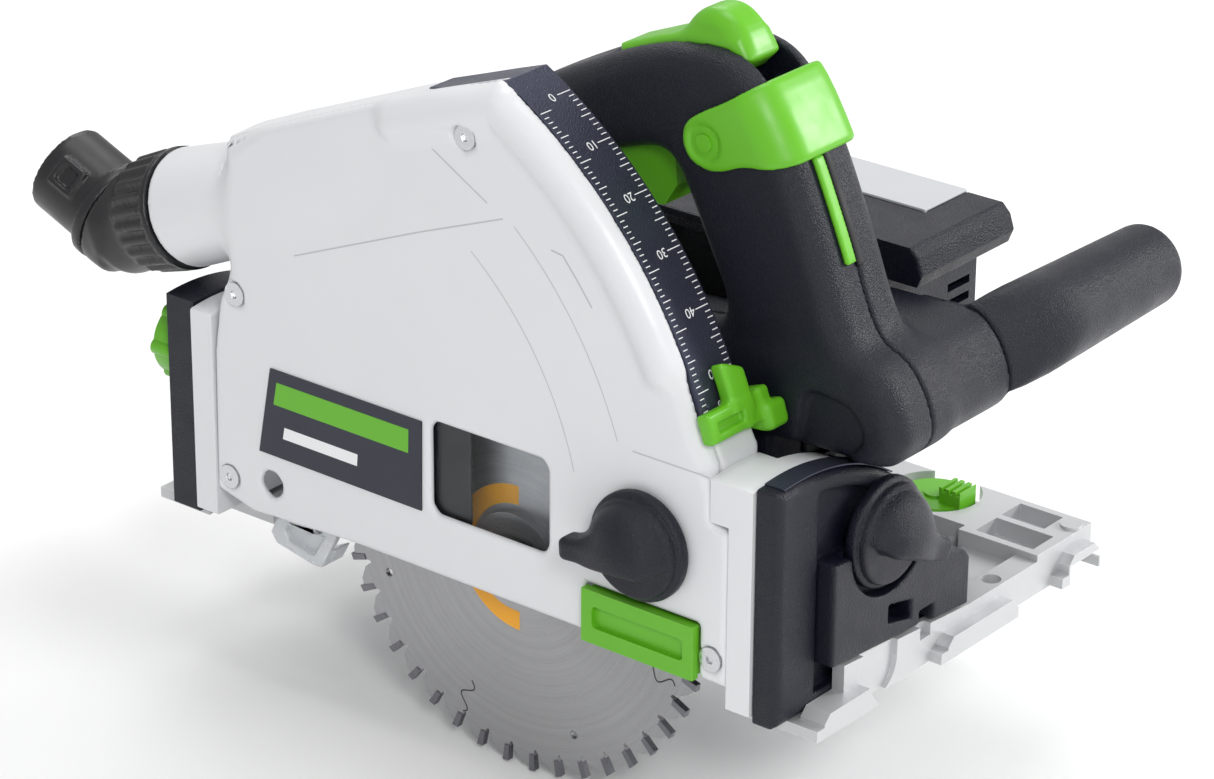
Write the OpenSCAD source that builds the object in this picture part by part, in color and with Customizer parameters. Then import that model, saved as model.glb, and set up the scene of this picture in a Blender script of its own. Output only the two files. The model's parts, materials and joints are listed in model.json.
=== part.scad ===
// Cordless plunge saw for a guide rail, with the blade fully plunged.
// +X is the cutting direction, +Y is the motor side, and +Z is up.
// The origin is on the sole, in the plane of the blade, straight below the plunged arbor.

/* [Blade] */
// Outside diameter of the saw blade
blade_d = 160; // [150:1:164]
// Number of carbide teeth
tooth_count = 42; // [24:2:60]
// Thickness of the blade plate
blade_t = 1.8; // [1.4:0.1:2.2]
// Diameter of the arbor hole in the blade
arbor_d = 20; // [16:1:22]
// Depth that the blade reaches below the sole
cut_depth = 55; // [52:0.5:55]

/* [Guard] */
// Distance from the blade plane to the outer face of the cover
cover_out = 14; // [13.5:0.5:15]
// Thickness of the cover's wall
wall = 2.5; // [2:0.1:3]
// Distance from the blade plane to the inner side of the guard
guard_in = 12; // [11.5:0.1:12.2]
// Radius of the front arc about the plunge pivot
arc_r = 181; // [178:1:184]

/* [Base] */
// Front edge of the base plate
base_front = 128; // [126:1:130]
// Length of the base plate
base_len = 293; // [290:1:296]
// Left edge of the base plate
base_left = 167; // [166:1:169]
// Thickness of the base plate's floor
floor_t = 4; // [3.5:0.1:4.2]
// Radius of the bevel quadrants about the cut line
quad_r = 89; // [88:0.5:90]

/* [Handles] */
// Middle plane of the main handle
grip_y = 42; // [40:0.5:44]
// Width of the main handle
grip_w = 36; // [32:1:38]
// Diameter of the front handle at its end
aux_d = 30; // [28:1:34]
// Left end of the front handle
aux_end = 180; // [172:1:186]

/* [Hidden] */
$fn = 64;
pivot = [-86, 41];
arbor_z = blade_d / 2 - cut_depth;
tilt_gap_r = quad_r + 2;

// Gear train: the pinion turns the driven gear on the arbor.
gear_teeth = 30;
pinion_teeth = 14;
gear_m = 1;
gear_c = (gear_teeth + pinion_teeth) / 2 * gear_m;
motor_a = 65;
motor_x = gear_c * cos(motor_a);
motor_z = arbor_z + gear_c * sin(motor_a);
gear_y = [18, 26];

// Guard
cover_y = -cover_out + wall;
body_y = guard_in - wall;
front_x = 98;
seam_x = 107.6;
arc_lo = 19;
arc_hi = 60.9;
duct = [-158, 8, 110];
duct_tilt = 21.2;
duct_r = 21.5;
elbow_l = 35.4;
outlet_tilt = 22.3;
knob_at = [64, 56];
sensor_at = [-88, 10.5];
screw_at = [[-117.6, 94.5], [-122.7, 23.5], [-11.8, 178], [91.2, 22.1]];

// Quadrants
front_stud_r = 70;
front_stud_a = 34.6;
rear_stud_r = 61;
rear_stud_a = 4.7;
bevel_max = 47;
cam_x = [66, -96];
cam_y = 150;
quad_left = 82;
rear_in = -139;
rear_out = -152.4;
bolt_seat = -132.6;

// Motor unit
unit_y = 13.2;
shell_y = 32.5;
grip_lo = grip_y - grip_w / 2;
grip_hi = grip_y + grip_w / 2;
nose_y = 88;
pod_y = 143;
handle_floor = 72;
shell_t = 2.5;
aux_at = [131, 111];
lever_at = [59, 183];
trigger_at = [6, 171];
dial_at = [-30, 84];

white_grey = [0.86, 0.87, 0.88];
navy = [0.12, 0.13, 0.18];
green = [0.40, 0.75, 0.16];
steel = [0.72, 0.73, 0.75];
alloy = [0.80, 0.81, 0.82];
black = [0.06, 0.06, 0.07];

// ---- helpers: an outline given in two row axes, extruded along the third ----
module slab_x(x0, x1) {
    translate([x0, 0, 0]) rotate([90, 0, 90]) linear_extrude(x1 - x0) children();
}
module slab_y(y0, y1) {
    translate([0, y1, 0]) rotate([90, 0, 0]) linear_extrude(y1 - y0) children();
}
module slab_z(z0, z1) {
    translate([0, 0, z0]) linear_extrude(z1 - z0) children();
}
module rod_x(y, z, x0, x1, r) {
    translate([x0, y, z]) rotate([0, 90, 0]) cylinder(h = x1 - x0, r = r);
}
module rod_y(x, z, y0, y1, r) {
    translate([x, y0, z]) rotate([-90, 0, 0]) cylinder(h = y1 - y0, r = r);
}
module rod_z(x, y, z0, z1, r) {
    translate([x, y, z0]) cylinder(h = z1 - z0, r = r);
}
module block(lo, hi) {
    translate(lo) cube(hi - lo);
}
// A rectangle with round corners, from its low to its high corner.
module round_rect(lo, hi, r) {
    difference() {
        translate(lo) square(hi - lo);
        for (i = [0, 1], j = [0, 1]) {
            corner = [i == 0 ? lo[0] : hi[0], j == 0 ? lo[1] : hi[1]];
            inward = [i == 0 ? r : -r, j == 0 ? r : -r];
            difference() {
                translate(corner - [r, r]) square(2 * r);
                translate(corner + inward) circle(r = r);
                translate(corner + inward + [i == 0 ? 0 : -2 * r, -2 * r]) square([2 * r, 4 * r]);
                translate(corner + inward + [-2 * r, j == 0 ? 0 : -2 * r]) square([4 * r, 2 * r]);
            }
        }
    }
}
// Points on a circle from angle a0 to a1.
function arc_points(c, r, a0, a1, n) =
    [for (i = [0:n]) c + r * [cos(a0 + (a1 - a0) * i / n), sin(a0 + (a1 - a0) * i / n)]];
// A band between two radii and two angles.
module arc_band(c, r0, r1, a0, a1, n = 24) {
    polygon(concat(arc_points(c, r1, a0, a1, n), arc_points(c, r0, a1, a0, n)));
}
// A curved slot with round ends, along the circle of radius r from a0 to a1.
module arc_slot(c, r, half, a0, a1) {
    polygon(concat(
        arc_points(c, r + half, a0, a1, 24),
        arc_points(c + r * [cos(a1), sin(a1)], half, a1 + 15, a1 + 165, 10),
        arc_points(c, r - half, a1, a0, 24),
        arc_points(c + r * [cos(a0), sin(a0)], half, a0 + 195, a0 + 345, 10)
    ));
}
// A closed toothed outline: each tooth is a trapezoid about the pitch circle.
module gear_outline(teeth, m, turn) {
    pitch_r = teeth * m / 2;
    step = 360 / teeth;
    polygon([for (i = [0:teeth - 1], k = [0:3])
        let (a = turn + i * step + step * [-0.31, -0.12, 0.12, 0.31][k],
             r = pitch_r + m * [-1.15, 0.75, 0.75, -1.15][k])
        r * [cos(a), sin(a)]]);
}

// ---- base ----
// Feet along the front edge: their low and high Y, and their height.
feet = [[-4, 30, 8], [66, 112, 8], [139, 163, 10.5]];
module base_outline() {
    rear = base_front - base_len;
    difference() {
        union() {
            translate([rear + 6, 3]) square([base_len - 11, base_left - 6]);
            for (f = feet) translate([100, f[0]]) square([base_front - 100, f[1] - f[0]]);
            translate([rear, -6]) square([24, 56]);
            translate([rear, 118]) square([20, 46]);
        }
        translate([-118, -1]) square([214, 14]);
    }
}
module base_plate() {
    color(alloy) difference() {
        union() {
            slab_z(0, floor_t) base_outline();
            // rail channel ridge, with its raised cam housings
            block([-150, 134, floor_t - 0.01], [90, 164, 15]);
            // deck at the front, and its wall with the feet
            block([89.99, 130, floor_t - 0.01], [123, 164, 15]);
            slab_x(118.2, 123) polygon([[17, floor_t - 0.01], [17, 18], [88.5, 12.6], [88.5, floor_t - 0.01]]);
            block([114, 88.49, floor_t - 0.01], [123, 131, 12.6]);
            block([92, 98, floor_t - 0.01], [114.01, 131, 9]);
            for (f = feet) slab_x(118.2, base_front)
                polygon([[f[0] + 4, 0.5], [f[1] - 1, 0.5], [f[1] - 1, f[2] - 3], [f[1] - 4, f[2]], [f[0] + 7, f[2]],
                    [f[0] + 4, f[2] - 3]]);
            // stiffening ribs
            for (x = [-110, -60, -10, 40, 84]) block([x, 96, floor_t - 0.01], [x + 3, 135, 9]);
            block([-150, 96, floor_t - 0.01], [107, 99, 9]);
            // rear wall
            block([-157, 64, floor_t - 0.01], [-153.2, 150, 16]);
            rod_z(119, 157, floor_t - 0.01, 16.2, 4);
        }
        // channel for the rail's rib, open along the sole
        block([-170, 144, -1], [base_front + 5, 162, 7]);
        // pockets that lighten the ridge
        for (x = [[-66, -30], [-24, 12], [-140, -126]]) block([x[0], 137, 9], [x[1], 161, 16]);
        // openings in the deck
        block([95, 149, 8.5], [113, 161, 16]);
        block([95, 133, 8.5], [119, 146, 16]);
        block([95, 133, floor_t], [119, 142.5, 9]);
        // round wells for the two rail cams
        for (x = cam_x) {
            rod_z(x, cam_y, 8.5, 16, 17);
            rod_z(x, cam_y, -1, 16, 4.05);
        }
        // rounded notch and small notch in the front wall
        rod_x(36, 10, 121, 132, 11);
        slab_x(121, 132) polygon([[36, 10], [47, 10], [47, 16], [42, 19], [36, 16]]);
        slab_x(120, 132) polygon([[60, 10], [66, 10], [66, 20], [60, 20]]);
        // recess under the gearbox when the saw is fully plunged
        rod_y(0, arbor_z, 12, 36, 24);
        block([-44, 90, 10.5], [64, 147, 16]);
        // holes for the locating pin and for the bracket screws
        rod_z(118, 109, -1, 20, 3.6);
        for (p = [[113, 22], [113, 36], [-158, 20], [-158, 34]]) rod_z(p[0], p[1], -1, 10, 2.1);
        // shallow beds for the glide strips
        for (y = [30, 120]) block([-150, y, -1], [100, y + 12, 0.8]);
    }
}
module glide_strips() {
    color(black) for (y = [30, 120]) block([-150, y, 0], [100, y + 12, 0.8]);
}
// Quadrant outline about the cut line, in Y and Z.
module quadrant(r, y0, y1, z0) {
    intersection() {
        circle(r = r, $fn = 128);
        translate([y0, z0]) square([y1 - y0, r]);
    }
}
module front_bracket() {
    color(navy) difference() {
        union() {
            slab_x(108, 118) quadrant(quad_r, -13, 79, floor_t + 0.2);
            slab_x(117.99, 124) polygon([[9, 21], [9, 54], [46, 52], [60, 46], [86, 34], [86, 20], [9, 20]]);
            block([108, 8, floor_t], [118, 46, 8]);
        }
        // stud hole, relief for the knob, and the sight slot
        at = front_stud_r * [sin(front_stud_a), cos(front_stud_a)];
        rod_x(at[0], at[1], 100, 130, 4.1);
        rod_x(at[0], at[1], 118, 130, 20);
        slab_x(116, 130) translate([42, 26]) square([14, 6]);
        slab_x(112, 130) translate([66, 19]) square([7, 6]);
        for (y = [22, 36]) rod_z(113, y, 0, 7.2, 2.1);
        // hollow between the face and the flange
        slab_x(107, 113) difference() {
            quadrant(quad_r - 12, 24, 76, 14);
            translate(at) circle(r = 10);
        }
    }
}
module rear_bracket() {
    at = rear_stud_r * [sin(rear_stud_a), cos(rear_stud_a)];
    color(navy) difference() {
        union() {
            slab_x(rear_out, rear_in - 0.4) quadrant(quad_r - 3, -12, 62, floor_t + 0.2);
            block([rear_out - 10, 10, floor_t], [rear_in - 0.4, 42, 8]);
        }
        rod_x(at[0], at[1], rear_out - 4, rear_in + 4, 3.1);
        for (y = [20, 34]) rod_z(-158, y, 0, 9, 2.1);
        slab_x(rear_in - 5, rear_in + 1) difference() {
            quadrant(quad_r - 14, 6, 58, 14);
            translate(at) circle(r = 9);
        }
    }
}
module bracket_screws() {
    color(steel) for (p = [[113, 22], [113, 36], [-158, 20], [-158, 34]]) rod_z(p[0], p[1], 0.2, 7, 2);
}
module bevel_scale() {
    color(black) slab_x(108.6, 116.4) arc_band([0, 0], quad_r + 0.02, quad_r + 0.5, 56, 96);
}
// A wing knob whose shaft points along +X: a stepped disc with a raised wing.
module wing_knob(r, depth, wing_r) {
    rotate([0, 90, 0]) {
        cylinder(h = depth * 0.28, r = r);
        cylinder(h = depth * 0.42, r = r - 2);
        intersection() {
            translate([0, 0, depth - r - 4]) sphere(r = r + 4);
            cylinder(h = depth, r = r - 3);
            translate([-r, -6, 0]) cube([2 * r, r + 6, depth]);
        }
    }
    translate([6.2, -5, -4.5]) cube([depth - 6.2, wing_r + 5, 9]);
}
module front_bevel_knob() {
    at = front_stud_r * [sin(front_stud_a), cos(front_stud_a)];
    color(navy) difference() {
        translate([118.4, at[0], at[1]]) rotate([-25, 0, 0]) wing_knob(19, 22, 25);
        rod_x(at[0], at[1], 117, 130, 4);
    }
}
module front_clamp_bolt() {
    at = front_stud_r * [sin(front_stud_a), cos(front_stud_a)];
    color(steel) {
        rod_x(at[0], at[1], 95.5, 130, 4);
        rod_x(at[0], at[1], 92.4, 95.6, 6.5);
    }
}
module rear_bevel_knob() {
    at = rear_stud_r * [sin(rear_stud_a), cos(rear_stud_a)];
    color(green) difference() {
        union() {
            rod_x(at[0], at[1], rear_out - 10.5, rear_out - 0.4, 14);
            for (a = [0:60:300])
                rod_x(at[0] + 12.5 * cos(a), at[1] + 12.5 * sin(a), rear_out - 10.5, rear_out - 0.4, 3);
        }
        rod_x(at[0], at[1], rear_out - 8, rear_out, 3);
    }
}
module rear_clamp_bolt() {
    at = rear_stud_r * [sin(rear_stud_a), cos(rear_stud_a)];
    color(steel) {
        rod_x(at[0], at[1], rear_out - 8, bolt_seat, 3);
        rod_x(at[0], at[1], bolt_seat, bolt_seat + 3, 5.5);
    }
}
// Eccentric cam with a ribbed thumb lobe, for the play on the rail.
module rail_cam(x) {
    difference() {
        union() {
            rod_z(x, cam_y, 0.4, 15, 4);
            rod_z(x, cam_y, 8.9, 14, 13);
            rod_z(x + 1, cam_y, 0.4, 6.4, 5.5);
            block([x + 5, cam_y - 5, 8.9], [x + 14, cam_y + 5, 20]);
        }
        for (dx = [6.2, 9.2, 12.2]) block([x + dx, cam_y - 6, 18.2], [x + dx + 1.4, cam_y + 6, 21]);
    }
}
module front_rail_cam() {
    color(green) rail_cam(cam_x[0]);
}
module rear_rail_cam() {
    color(green) rail_cam(cam_x[1]);
}

// ---- tilting guard ----
// Side outline of the guard, in X and Z.
module guard_outline() {
    polygon(concat(
        [[-112, 13.2], [-62, 15.5], [42, 15.5], [front_x, 13.5], [front_x, 69], [90.6, 71.5], [90.6, 90]],
        arc_points(pivot, arc_r, arc_lo, arc_hi, 40),
        [[-46, 182], [-104, 158.5], [-124, 149.5], [-124, 97], [-128, 71], [-129, 17.5]]
    ));
}
module plunge_slot(r) {
    a0 = atan2(arbor_z - pivot[1], -pivot[0]);
    d = norm([pivot[0], arbor_z - pivot[1]]);
    arc_slot(pivot, d, r, a0 - 4, a0 + 41);
}
module guard_body() {
    color(white_grey) difference() {
        union() {
            slab_y(body_y, guard_in) guard_outline();
            // rim that joins the two sides, along the top and the back
            slab_y(cover_y, body_y + 0.5) polygon([[0.5, 198.5], [-46, 182], [-104, 158.5], [-124, 149.5], [-124, 97],
                [-128, 71], [-128.8, 25], [-126.3, 25], [-125.5, 71], [-121.5, 97], [-121.5, 147.9], [-103, 155.9],
                [-45.2, 179.5], [-0.6, 195.6]]);
            // boss for the pivot pin, and the tab with the cross pin of the sensor paddle
            rod_y(pivot[0], pivot[1], body_y - 4, guard_in - 0.5, 10);
            rod_y(sensor_at[0], sensor_at[1], cover_y + 0.1, body_y + 1, 1.5);
            block([sensor_at[0] - 5, body_y, sensor_at[1] - 5], [sensor_at[0] + 5, guard_in - 0.3, 32]);
        }
        slab_y(body_y - 1, guard_in + 1) plunge_slot(16);
        rod_y(pivot[0], pivot[1], 0, 20, 5);
        for (s = screw_at) rod_y(s[0], s[1], -12, 13, 1.6);
        // the rim stops where the duct comes in
        block([-130, cover_y - 1, 98.5], [-118.5, body_y, 148.6]);
        // the bottom of the inner side is open over the base
        slab_y(body_y - 0.5, guard_in + 1) polygon([[-120, 0], [-120, 22], [-96, 22], [-96, 0]]);
        slab_y(body_y - 0.5, guard_in + 1) polygon([[-78, 0], [-78, 17], [60, 17], [84, 30], [84, 0]]);
        translate(duct) rotate([0, 90 - duct_tilt, 0]) cylinder(h = 80, r = duct_r + 0.02, center = true);
    }
}
module guard_cover() {
    color(white_grey) difference() {
        slab_y(-cover_out, cover_y - 0.02) guard_outline();
        slab_y(-cover_out - 1, cover_y + 1) round_rect([-28, 38.5], [23, 73], 4);
        rod_y(-102.4, 26.5, -cover_out - 1, cover_y + 1, 5);
        for (s = screw_at) {
            rod_y(s[0], s[1], -cover_out - 1, -cover_out + 1.2, 4.4);
            rod_y(s[0], s[1], -cover_out - 1, cover_y + 1, 2);
        }
        rod_y(knob_at[0], knob_at[1], -cover_out - 1, cover_y + 1, 4.1);
        // mouth for the splinter guard
        slab_y(-cover_out - 1, cover_y + 1) translate([39, 0]) square([48, 34]);
        translate(duct) rotate([0, 90 - duct_tilt, 0]) cylinder(h = 80, r = duct_r + 0.02, center = true);
    }
}
module scale_arc() {
    color(navy) {
        slab_y(cover_y + 0.02, body_y - 0.02) arc_band(pivot, arc_r - 3.5, arc_r + 0.03, arc_lo, arc_hi, 60);
        slab_y(cover_y + 0.02, guard_in - 1) arc_band(pivot, arc_r + 0.02, arc_r + 0.6, arc_lo, arc_hi, 60);
    }
}
module name_plate() {
    color(navy) slab_y(-cover_out - 0.6, -cover_out) polygon([[-107, 38.6], [-32, 38.2], [-31.5, 71.5], [-100.8, 71.6]]);
}
module sight_window() {
    color([0.8, 0.9, 1, 0.3]) slab_y(cover_y + 0.02, cover_y + 1.2) round_rect([-31, 35.5], [26, 76], 5);
}
// Quadrant block that carries the head on a bracket, with the slot for the clamp bolt.
module segment_slot(r, a, half) {
    arc_slot([0, 0], r, half, 90 - a - bevel_max - 2, 90 - a + 2);
}
module front_segment() {
    color(white_grey) difference() {
        union() {
            slab_x(front_x + 0.02, seam_x) quadrant(quad_r - 1, -cover_out, quad_left, floor_t + 2.5);
            slab_x(90.62, front_x + 1) quadrant(quad_r - 1, -cover_out, guard_in - 0.5, 71.6);
            slab_x(84, front_x + 1) quadrant(quad_r - 14, guard_in + 0.02, 18, 20);
        }
        slab_x(83, seam_x + 1) segment_slot(front_stud_r, front_stud_a, 4.6);
        slab_x(80, front_x + 0.6) segment_slot(front_stud_r, front_stud_a, 9);
    }
}
module rear_segment() {
    color(white_grey) difference() {
        slab_x(rear_in, -129.02) quadrant(quad_r - 4, -cover_out, 66, floor_t + 2.5);
        slab_x(rear_in - 1, -128) segment_slot(rear_stud_r, rear_stud_a, 3.6);
        slab_x(bolt_seat - 0.3, -128) segment_slot(rear_stud_r, rear_stud_a, 6.1);
    }
}
module cover_screws() {
    color(steel) for (s = screw_at) {
        difference() {
            rod_y(s[0], s[1], -cover_out + 0.1, -cover_out + 1.2, 4.3);
            translate([s[0], -cover_out - 1, s[1]]) rotate([-90, 0, 0]) cylinder(h = 1.9, r = 1.7, $fn = 6);
        }
        rod_y(s[0], s[1], -cover_out + 1.15, 10, 1.6);
    }
}
module pivot_pin() {
    color(steel) {
        rod_y(pivot[0], pivot[1], 6, 58, 5);
        rod_y(pivot[0], pivot[1], 58, 60, 8);
    }
}
module dust_duct() {
    color(white_grey) translate(duct) rotate([0, 90 - duct_tilt, 0]) {
        difference() {
            cylinder(h = 40, r = duct_r);
            translate([0, 0, -1]) cylinder(h = 44, r = duct_r - wall);
        }
        // seat for the swivel collar
        difference() {
            translate([0, 0, -12]) cylinder(h = 12 + wall, r = duct_r - 4);
            translate([0, 0, -13]) cylinder(h = 20, r = duct_r - 6.5);
        }
        difference() {
            cylinder(h = wall, r = duct_r - wall + 0.01);
            translate([0, 0, -1]) cylinder(h = wall + 2, r = duct_r - 6.5);
        }
    }
}
module dust_elbow() {
    color(black) translate(duct) rotate([0, 90 - duct_tilt, 0]) difference() {
        union() {
            translate([0, 0, -22]) cylinder(h = 21.6, r = duct_r + 0.6);
            translate([0, 0, -elbow_l]) rotate([0, duct_tilt / 2 + outlet_tilt / 2, 0]) translate([0, 0, 5]) cylinder(h = 9, r = 18.8);
            translate([0, 0, -elbow_l]) rotate([0, duct_tilt + outlet_tilt, 0]) translate([0, 0, -3]) cylinder(h = 16, r = 19);
        }
        translate([0, 0, -24]) cylinder(h = 30, r = duct_r - 3.95);
        translate([0, 0, -elbow_l]) rotate([0, duct_tilt / 2 + outlet_tilt / 2, 0]) cylinder(h = 20, r = 15.5);
        translate([0, 0, -elbow_l]) rotate([0, duct_tilt + outlet_tilt, 0]) translate([0, 0, -20]) cylinder(h = 36, r = 15.5);
        for (a = [0:15:345]) rotate(a) translate([duct_r + 1.6, 0, -19]) cylinder(h = 16, r = 1.8);
    }
}
module dust_outlet() {
    color(black) translate(duct) rotate([0, 90 - duct_tilt, 0]) translate([0, 0, -elbow_l])
        rotate([0, duct_tilt + outlet_tilt, 0]) difference() {
            union() {
                translate([0, 0, -32]) cylinder(h = 28.6, r = 17);
                translate([0, 0, -8]) cylinder(h = 4.6, r = 20);
                translate([0, 0, -8]) cylinder(h = 16, r = 15.45);
            }
            translate([0, 0, -33]) cylinder(h = 45, r = 13.5);
            rotate(-60) translate([15.6, -4, -28]) cube([4, 8, 12]);
        }
}
module splinter_guard() {
    color(green) difference() {
        union() {
            slab_y(-cover_out - 2.5, -cover_out + 0.6) translate([39.6, 13.6]) square([46.6, 19.4]);
            slab_y(-cover_out + 0.5, cover_y + 1) translate([41, 14]) square([44, 18.6]);
        }
        slab_y(-cover_out - 3, -cover_out - 0.6) round_rect([44, 19.5], [82, 27.5], 1.5);
    }
}
module splinter_knob() {
    color(navy) difference() {
        union() {
            translate([knob_at[0], -cover_out - 0.4, knob_at[1]]) rotate([0, 0, -90]) rotate([8, 0, 0])
                mirror([0, 1, 0]) wing_knob(18.5, 21, 24);
            rod_y(knob_at[0], knob_at[1], -cover_out - 1, cover_y, 4);
        }
        rod_y(knob_at[0], knob_at[1], -cover_out - 12, -cover_out - 4, 0.5);
    }
}
module kickback_sensor() {
    color([0.9, 0.92, 0.94]) difference() {
        union() {
            slab_y(-6, 6) polygon([[-108, 9], [-111, 2.6], [-108.5, -1], [-90, -4.6], [-87, -4.2], [-79, 10.6], [-84, 14],
                [-92, 14]]);
            rod_y(sensor_at[0], sensor_at[1], -6, 6, 4.4);
        }
        slab_y(-7, -3.6) polygon([[-102.5, 8], [-104.5, 5], [-102, 1.5], [-90.5, -0.8], [-85, 8]]);
        slab_y(-2.8, 7) polygon([[-120, 7], [-108, 3.6], [-102, 0.6], [-92, -1.4], [-83, 3], [-76, 7], [-76, 20],
            [-120, 20]]);
        rod_y(sensor_at[0], sensor_at[1], -20, 20, 1.55);
    }
}
module depth_stop() {
    foot = arc_lo - 0.6;
    color(green) difference() {
        union() {
            slab_y(-13.5, 13.5) arc_band(pivot, arc_r + 1, arc_r + 5.5, foot, foot + 3.4, 6);
            slab_y(-3, 12) arc_band(pivot, arc_r + 1, arc_r + 4.5, foot + 3.3, foot + 7.5, 6);
            slab_y(12.4, 18) arc_band(pivot, arc_r - 12, arc_r + 5.5, foot - 1.4, foot + 4.6, 6);
            translate([pivot[0] + (arc_r + 3) * cos(foot + 2), 14, pivot[1] + (arc_r + 3) * sin(foot + 2)])
                rotate([-90, 0, 0]) cylinder(h = 9, r = 5);
        }
        slab_y(-6, 3) arc_band(pivot, arc_r + 3.5, arc_r + 8, foot + 1, foot + 3, 6);
    }
}

// ---- plunging motor unit ----
// Arm and gear case outline: a plate from the pivot to the arbor and the motor.
module case_outline(grow) {
    translate([0, arbor_z]) circle(r = 19.5 + grow);
    translate([motor_x, motor_z]) circle(r = 33 + grow);
    translate(pivot) circle(r = 13 + grow);
    translate([-86, 32 - grow]) rotate(-4) square([70, 20 + 2 * grow]);
}
module gearbox_housing() {
    color(alloy) difference() {
        slab_y(unit_y, shell_y - 0.3) case_outline(0);
        slab_y(unit_y + 3, shell_y - 3.3) {
            translate([0, arbor_z]) circle(r = 16.9);
            translate([motor_x, motor_z]) circle(r = 9.5);
        }
        rod_y(0, arbor_z, unit_y - 1, unit_y + 6, 11);
        rod_y(0, arbor_z, 20, 30.6, 9);
        rod_y(motor_x, motor_z, 15, 18, 5.5);
        rod_y(motor_x, motor_z, 20, 40, 9.5);
        rod_y(pivot[0], pivot[1], 10, 40, 5.05);
    }
}
module ring_y(x, z, y0, y1, r_out, r_in) {
    difference() {
        rod_y(x, z, y0, y1, r_out);
        rod_y(x, z, y0 - 1, y1 + 1, r_in);
    }
}
module arbor_bearing() {
    color(steel) {
        ring_y(0, arbor_z, 13.4, 16.1, 11, 7.05);
        ring_y(0, arbor_z, 26.6, 29.1, 9, 5.05);
    }
}
module motor_bearings() {
    color(steel) {
        ring_y(motor_x, motor_z, 29.4, 32, 9.5, 4.05);
        ring_y(motor_x, motor_z, 108, 113, 9.5, 4.05);
    }
}
module lower_outline() {
    polygon([[104, handle_floor - 0.3], [73, 51], [50, 31], [38, 16], [-18, 14], [-38, 30],
        [-48, 50], [-50, handle_floor - 0.3]]);
}
module motor_housing() {
    color(navy) difference() {
        union() {
            difference() {
                slab_y(shell_y, nose_y) lower_outline();
                slab_y(shell_y + shell_t, nose_y + 1) offset(delta = -shell_t) lower_outline();
            }
            // ring that carries the stator
            slab_y(54, nose_y) intersection() {
                lower_outline();
                translate([motor_x, motor_z]) circle(r = 31);
            }
        }
        rod_y(motor_x, motor_z, 20, nose_y + 1, 27.02);
        rod_y(motor_x, motor_z, 20, 54, 30);
        slab_y(shell_y - 1, 62) translate([-90, 20]) square([45, 45]);
        rod_x(0, 0, front_x - 10, aux_at[0], tilt_gap_r);
    }
}
module motor_stator() {
    color([0.45, 0.3, 0.2]) ring_y(motor_x, motor_z, 54, 94, 27, 17);
}
module return_spring() {
    color(steel) {
        ring_y(pivot[0], pivot[1], shell_y - 0.25, 57.6, 7.8, 5.6);
        for (i = [0:6]) ring_y(pivot[0], pivot[1], 33 + i * 3.5, 35.4 + i * 3.5, 9, 7.7);
    }
}
// Side outline of the main handle above the motor: grip, front column and nose.
module handle_outline() {
    polygon([[-52, handle_floor], [-54, 110], [-48, 150], [-38, 173], [-16, 186], [20, 204], [40, 211],
        [62, 213], [76, 206], [90, 184], [104, 152], [112, 130], [119, 121], [126, 118.5], [133, 110],
        [137, 98], [133, 90], [105, handle_floor]]);
}
module hand_gap() {
    polygon([[-24, 118], [-24, 146], [-16, 156], [34, 173], [42, 171], [64, 127], [60, 119], [50, 116], [-14, 112]]);
}
module handle_section() {
    difference() {
        handle_outline();
        hand_gap();
    }
}
// One half of the handle between y0 and y1, hollow between in0 and in1.
module handle_half(y0, y1, in0, in1) {
    difference() {
        slab_y(y0, y1) handle_section();
        slab_y(in0, in1) offset(delta = -shell_t) handle_section();
        // slot for the trigger, in the underside of the grip
        slab_y(grip_y - 9.4, grip_y + 9.4) polygon([[3, 155], [44, 155], [44, 178], [0, 178]]);
        // mouth for the lock button, on top of the grip
        slab_y(grip_y - 9.4, grip_y + 9.4) polygon([[12, 190], [72, 199], [80, 210], [66, 222], [12, 212]]);
        rod_y(lever_at[0], lever_at[1], grip_lo - 1, grip_hi + 1, 3.05);
        // room for the gear case and for the tilt quadrants
        rod_y(motor_x, motor_z, grip_lo - 1, shell_y, 33.1);
        rod_x(0, 0, front_x - 10, aux_at[0] + 9, tilt_gap_r);
    }
}
module handle_right_shell() {
    color(navy) handle_half(grip_lo, grip_y - 0.01, grip_lo + shell_t, grip_y + 1);
}
module handle_left_shell() {
    color(navy) handle_half(grip_y + 0.01, grip_hi, grip_y - 1, grip_hi - shell_t);
}
module nose_outline() {
    polygon([[62, handle_floor], [62, 112], [70, 119], [119, 121], [126, 118.5], [133, 110], [137, 98], [133, 90],
        [105, handle_floor]]);
}
module front_housing() {
    color(navy) difference() {
        slab_y(grip_hi + 0.02, nose_y - 0.02) nose_outline();
        slab_y(grip_hi - 1, nose_y - shell_t) offset(delta = -shell_t) nose_outline();
    }
}
module front_handle() {
    color(navy) difference() {
        union() {
            translate([aux_at[0] - 14, nose_y, aux_at[1] - 6]) rotate([-90, 0, 0]) cylinder(h = 12, r1 = 18, r2 = 17);
            rod_y(aux_at[0], aux_at[1], nose_y, aux_end - 8, aux_d / 2 + 1);
            translate([aux_at[0], aux_end - 8.01, aux_at[1]]) rotate([-90, 0, 0]) cylinder(h = 8, r1 = aux_d / 2 + 1, r2 = aux_d / 2 - 5);
        }
        rod_y(aux_at[0], aux_at[1], nose_y - 1, aux_end - 14, aux_d / 2 - 3);
    }
}
module pod_outline() {
    polygon([[84, 121], [84, 74], [60, 44], [44, 22], [34, 14], [-18, 14], [-36, 30], [-40, 60], [-40, 121]]);
}
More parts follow.
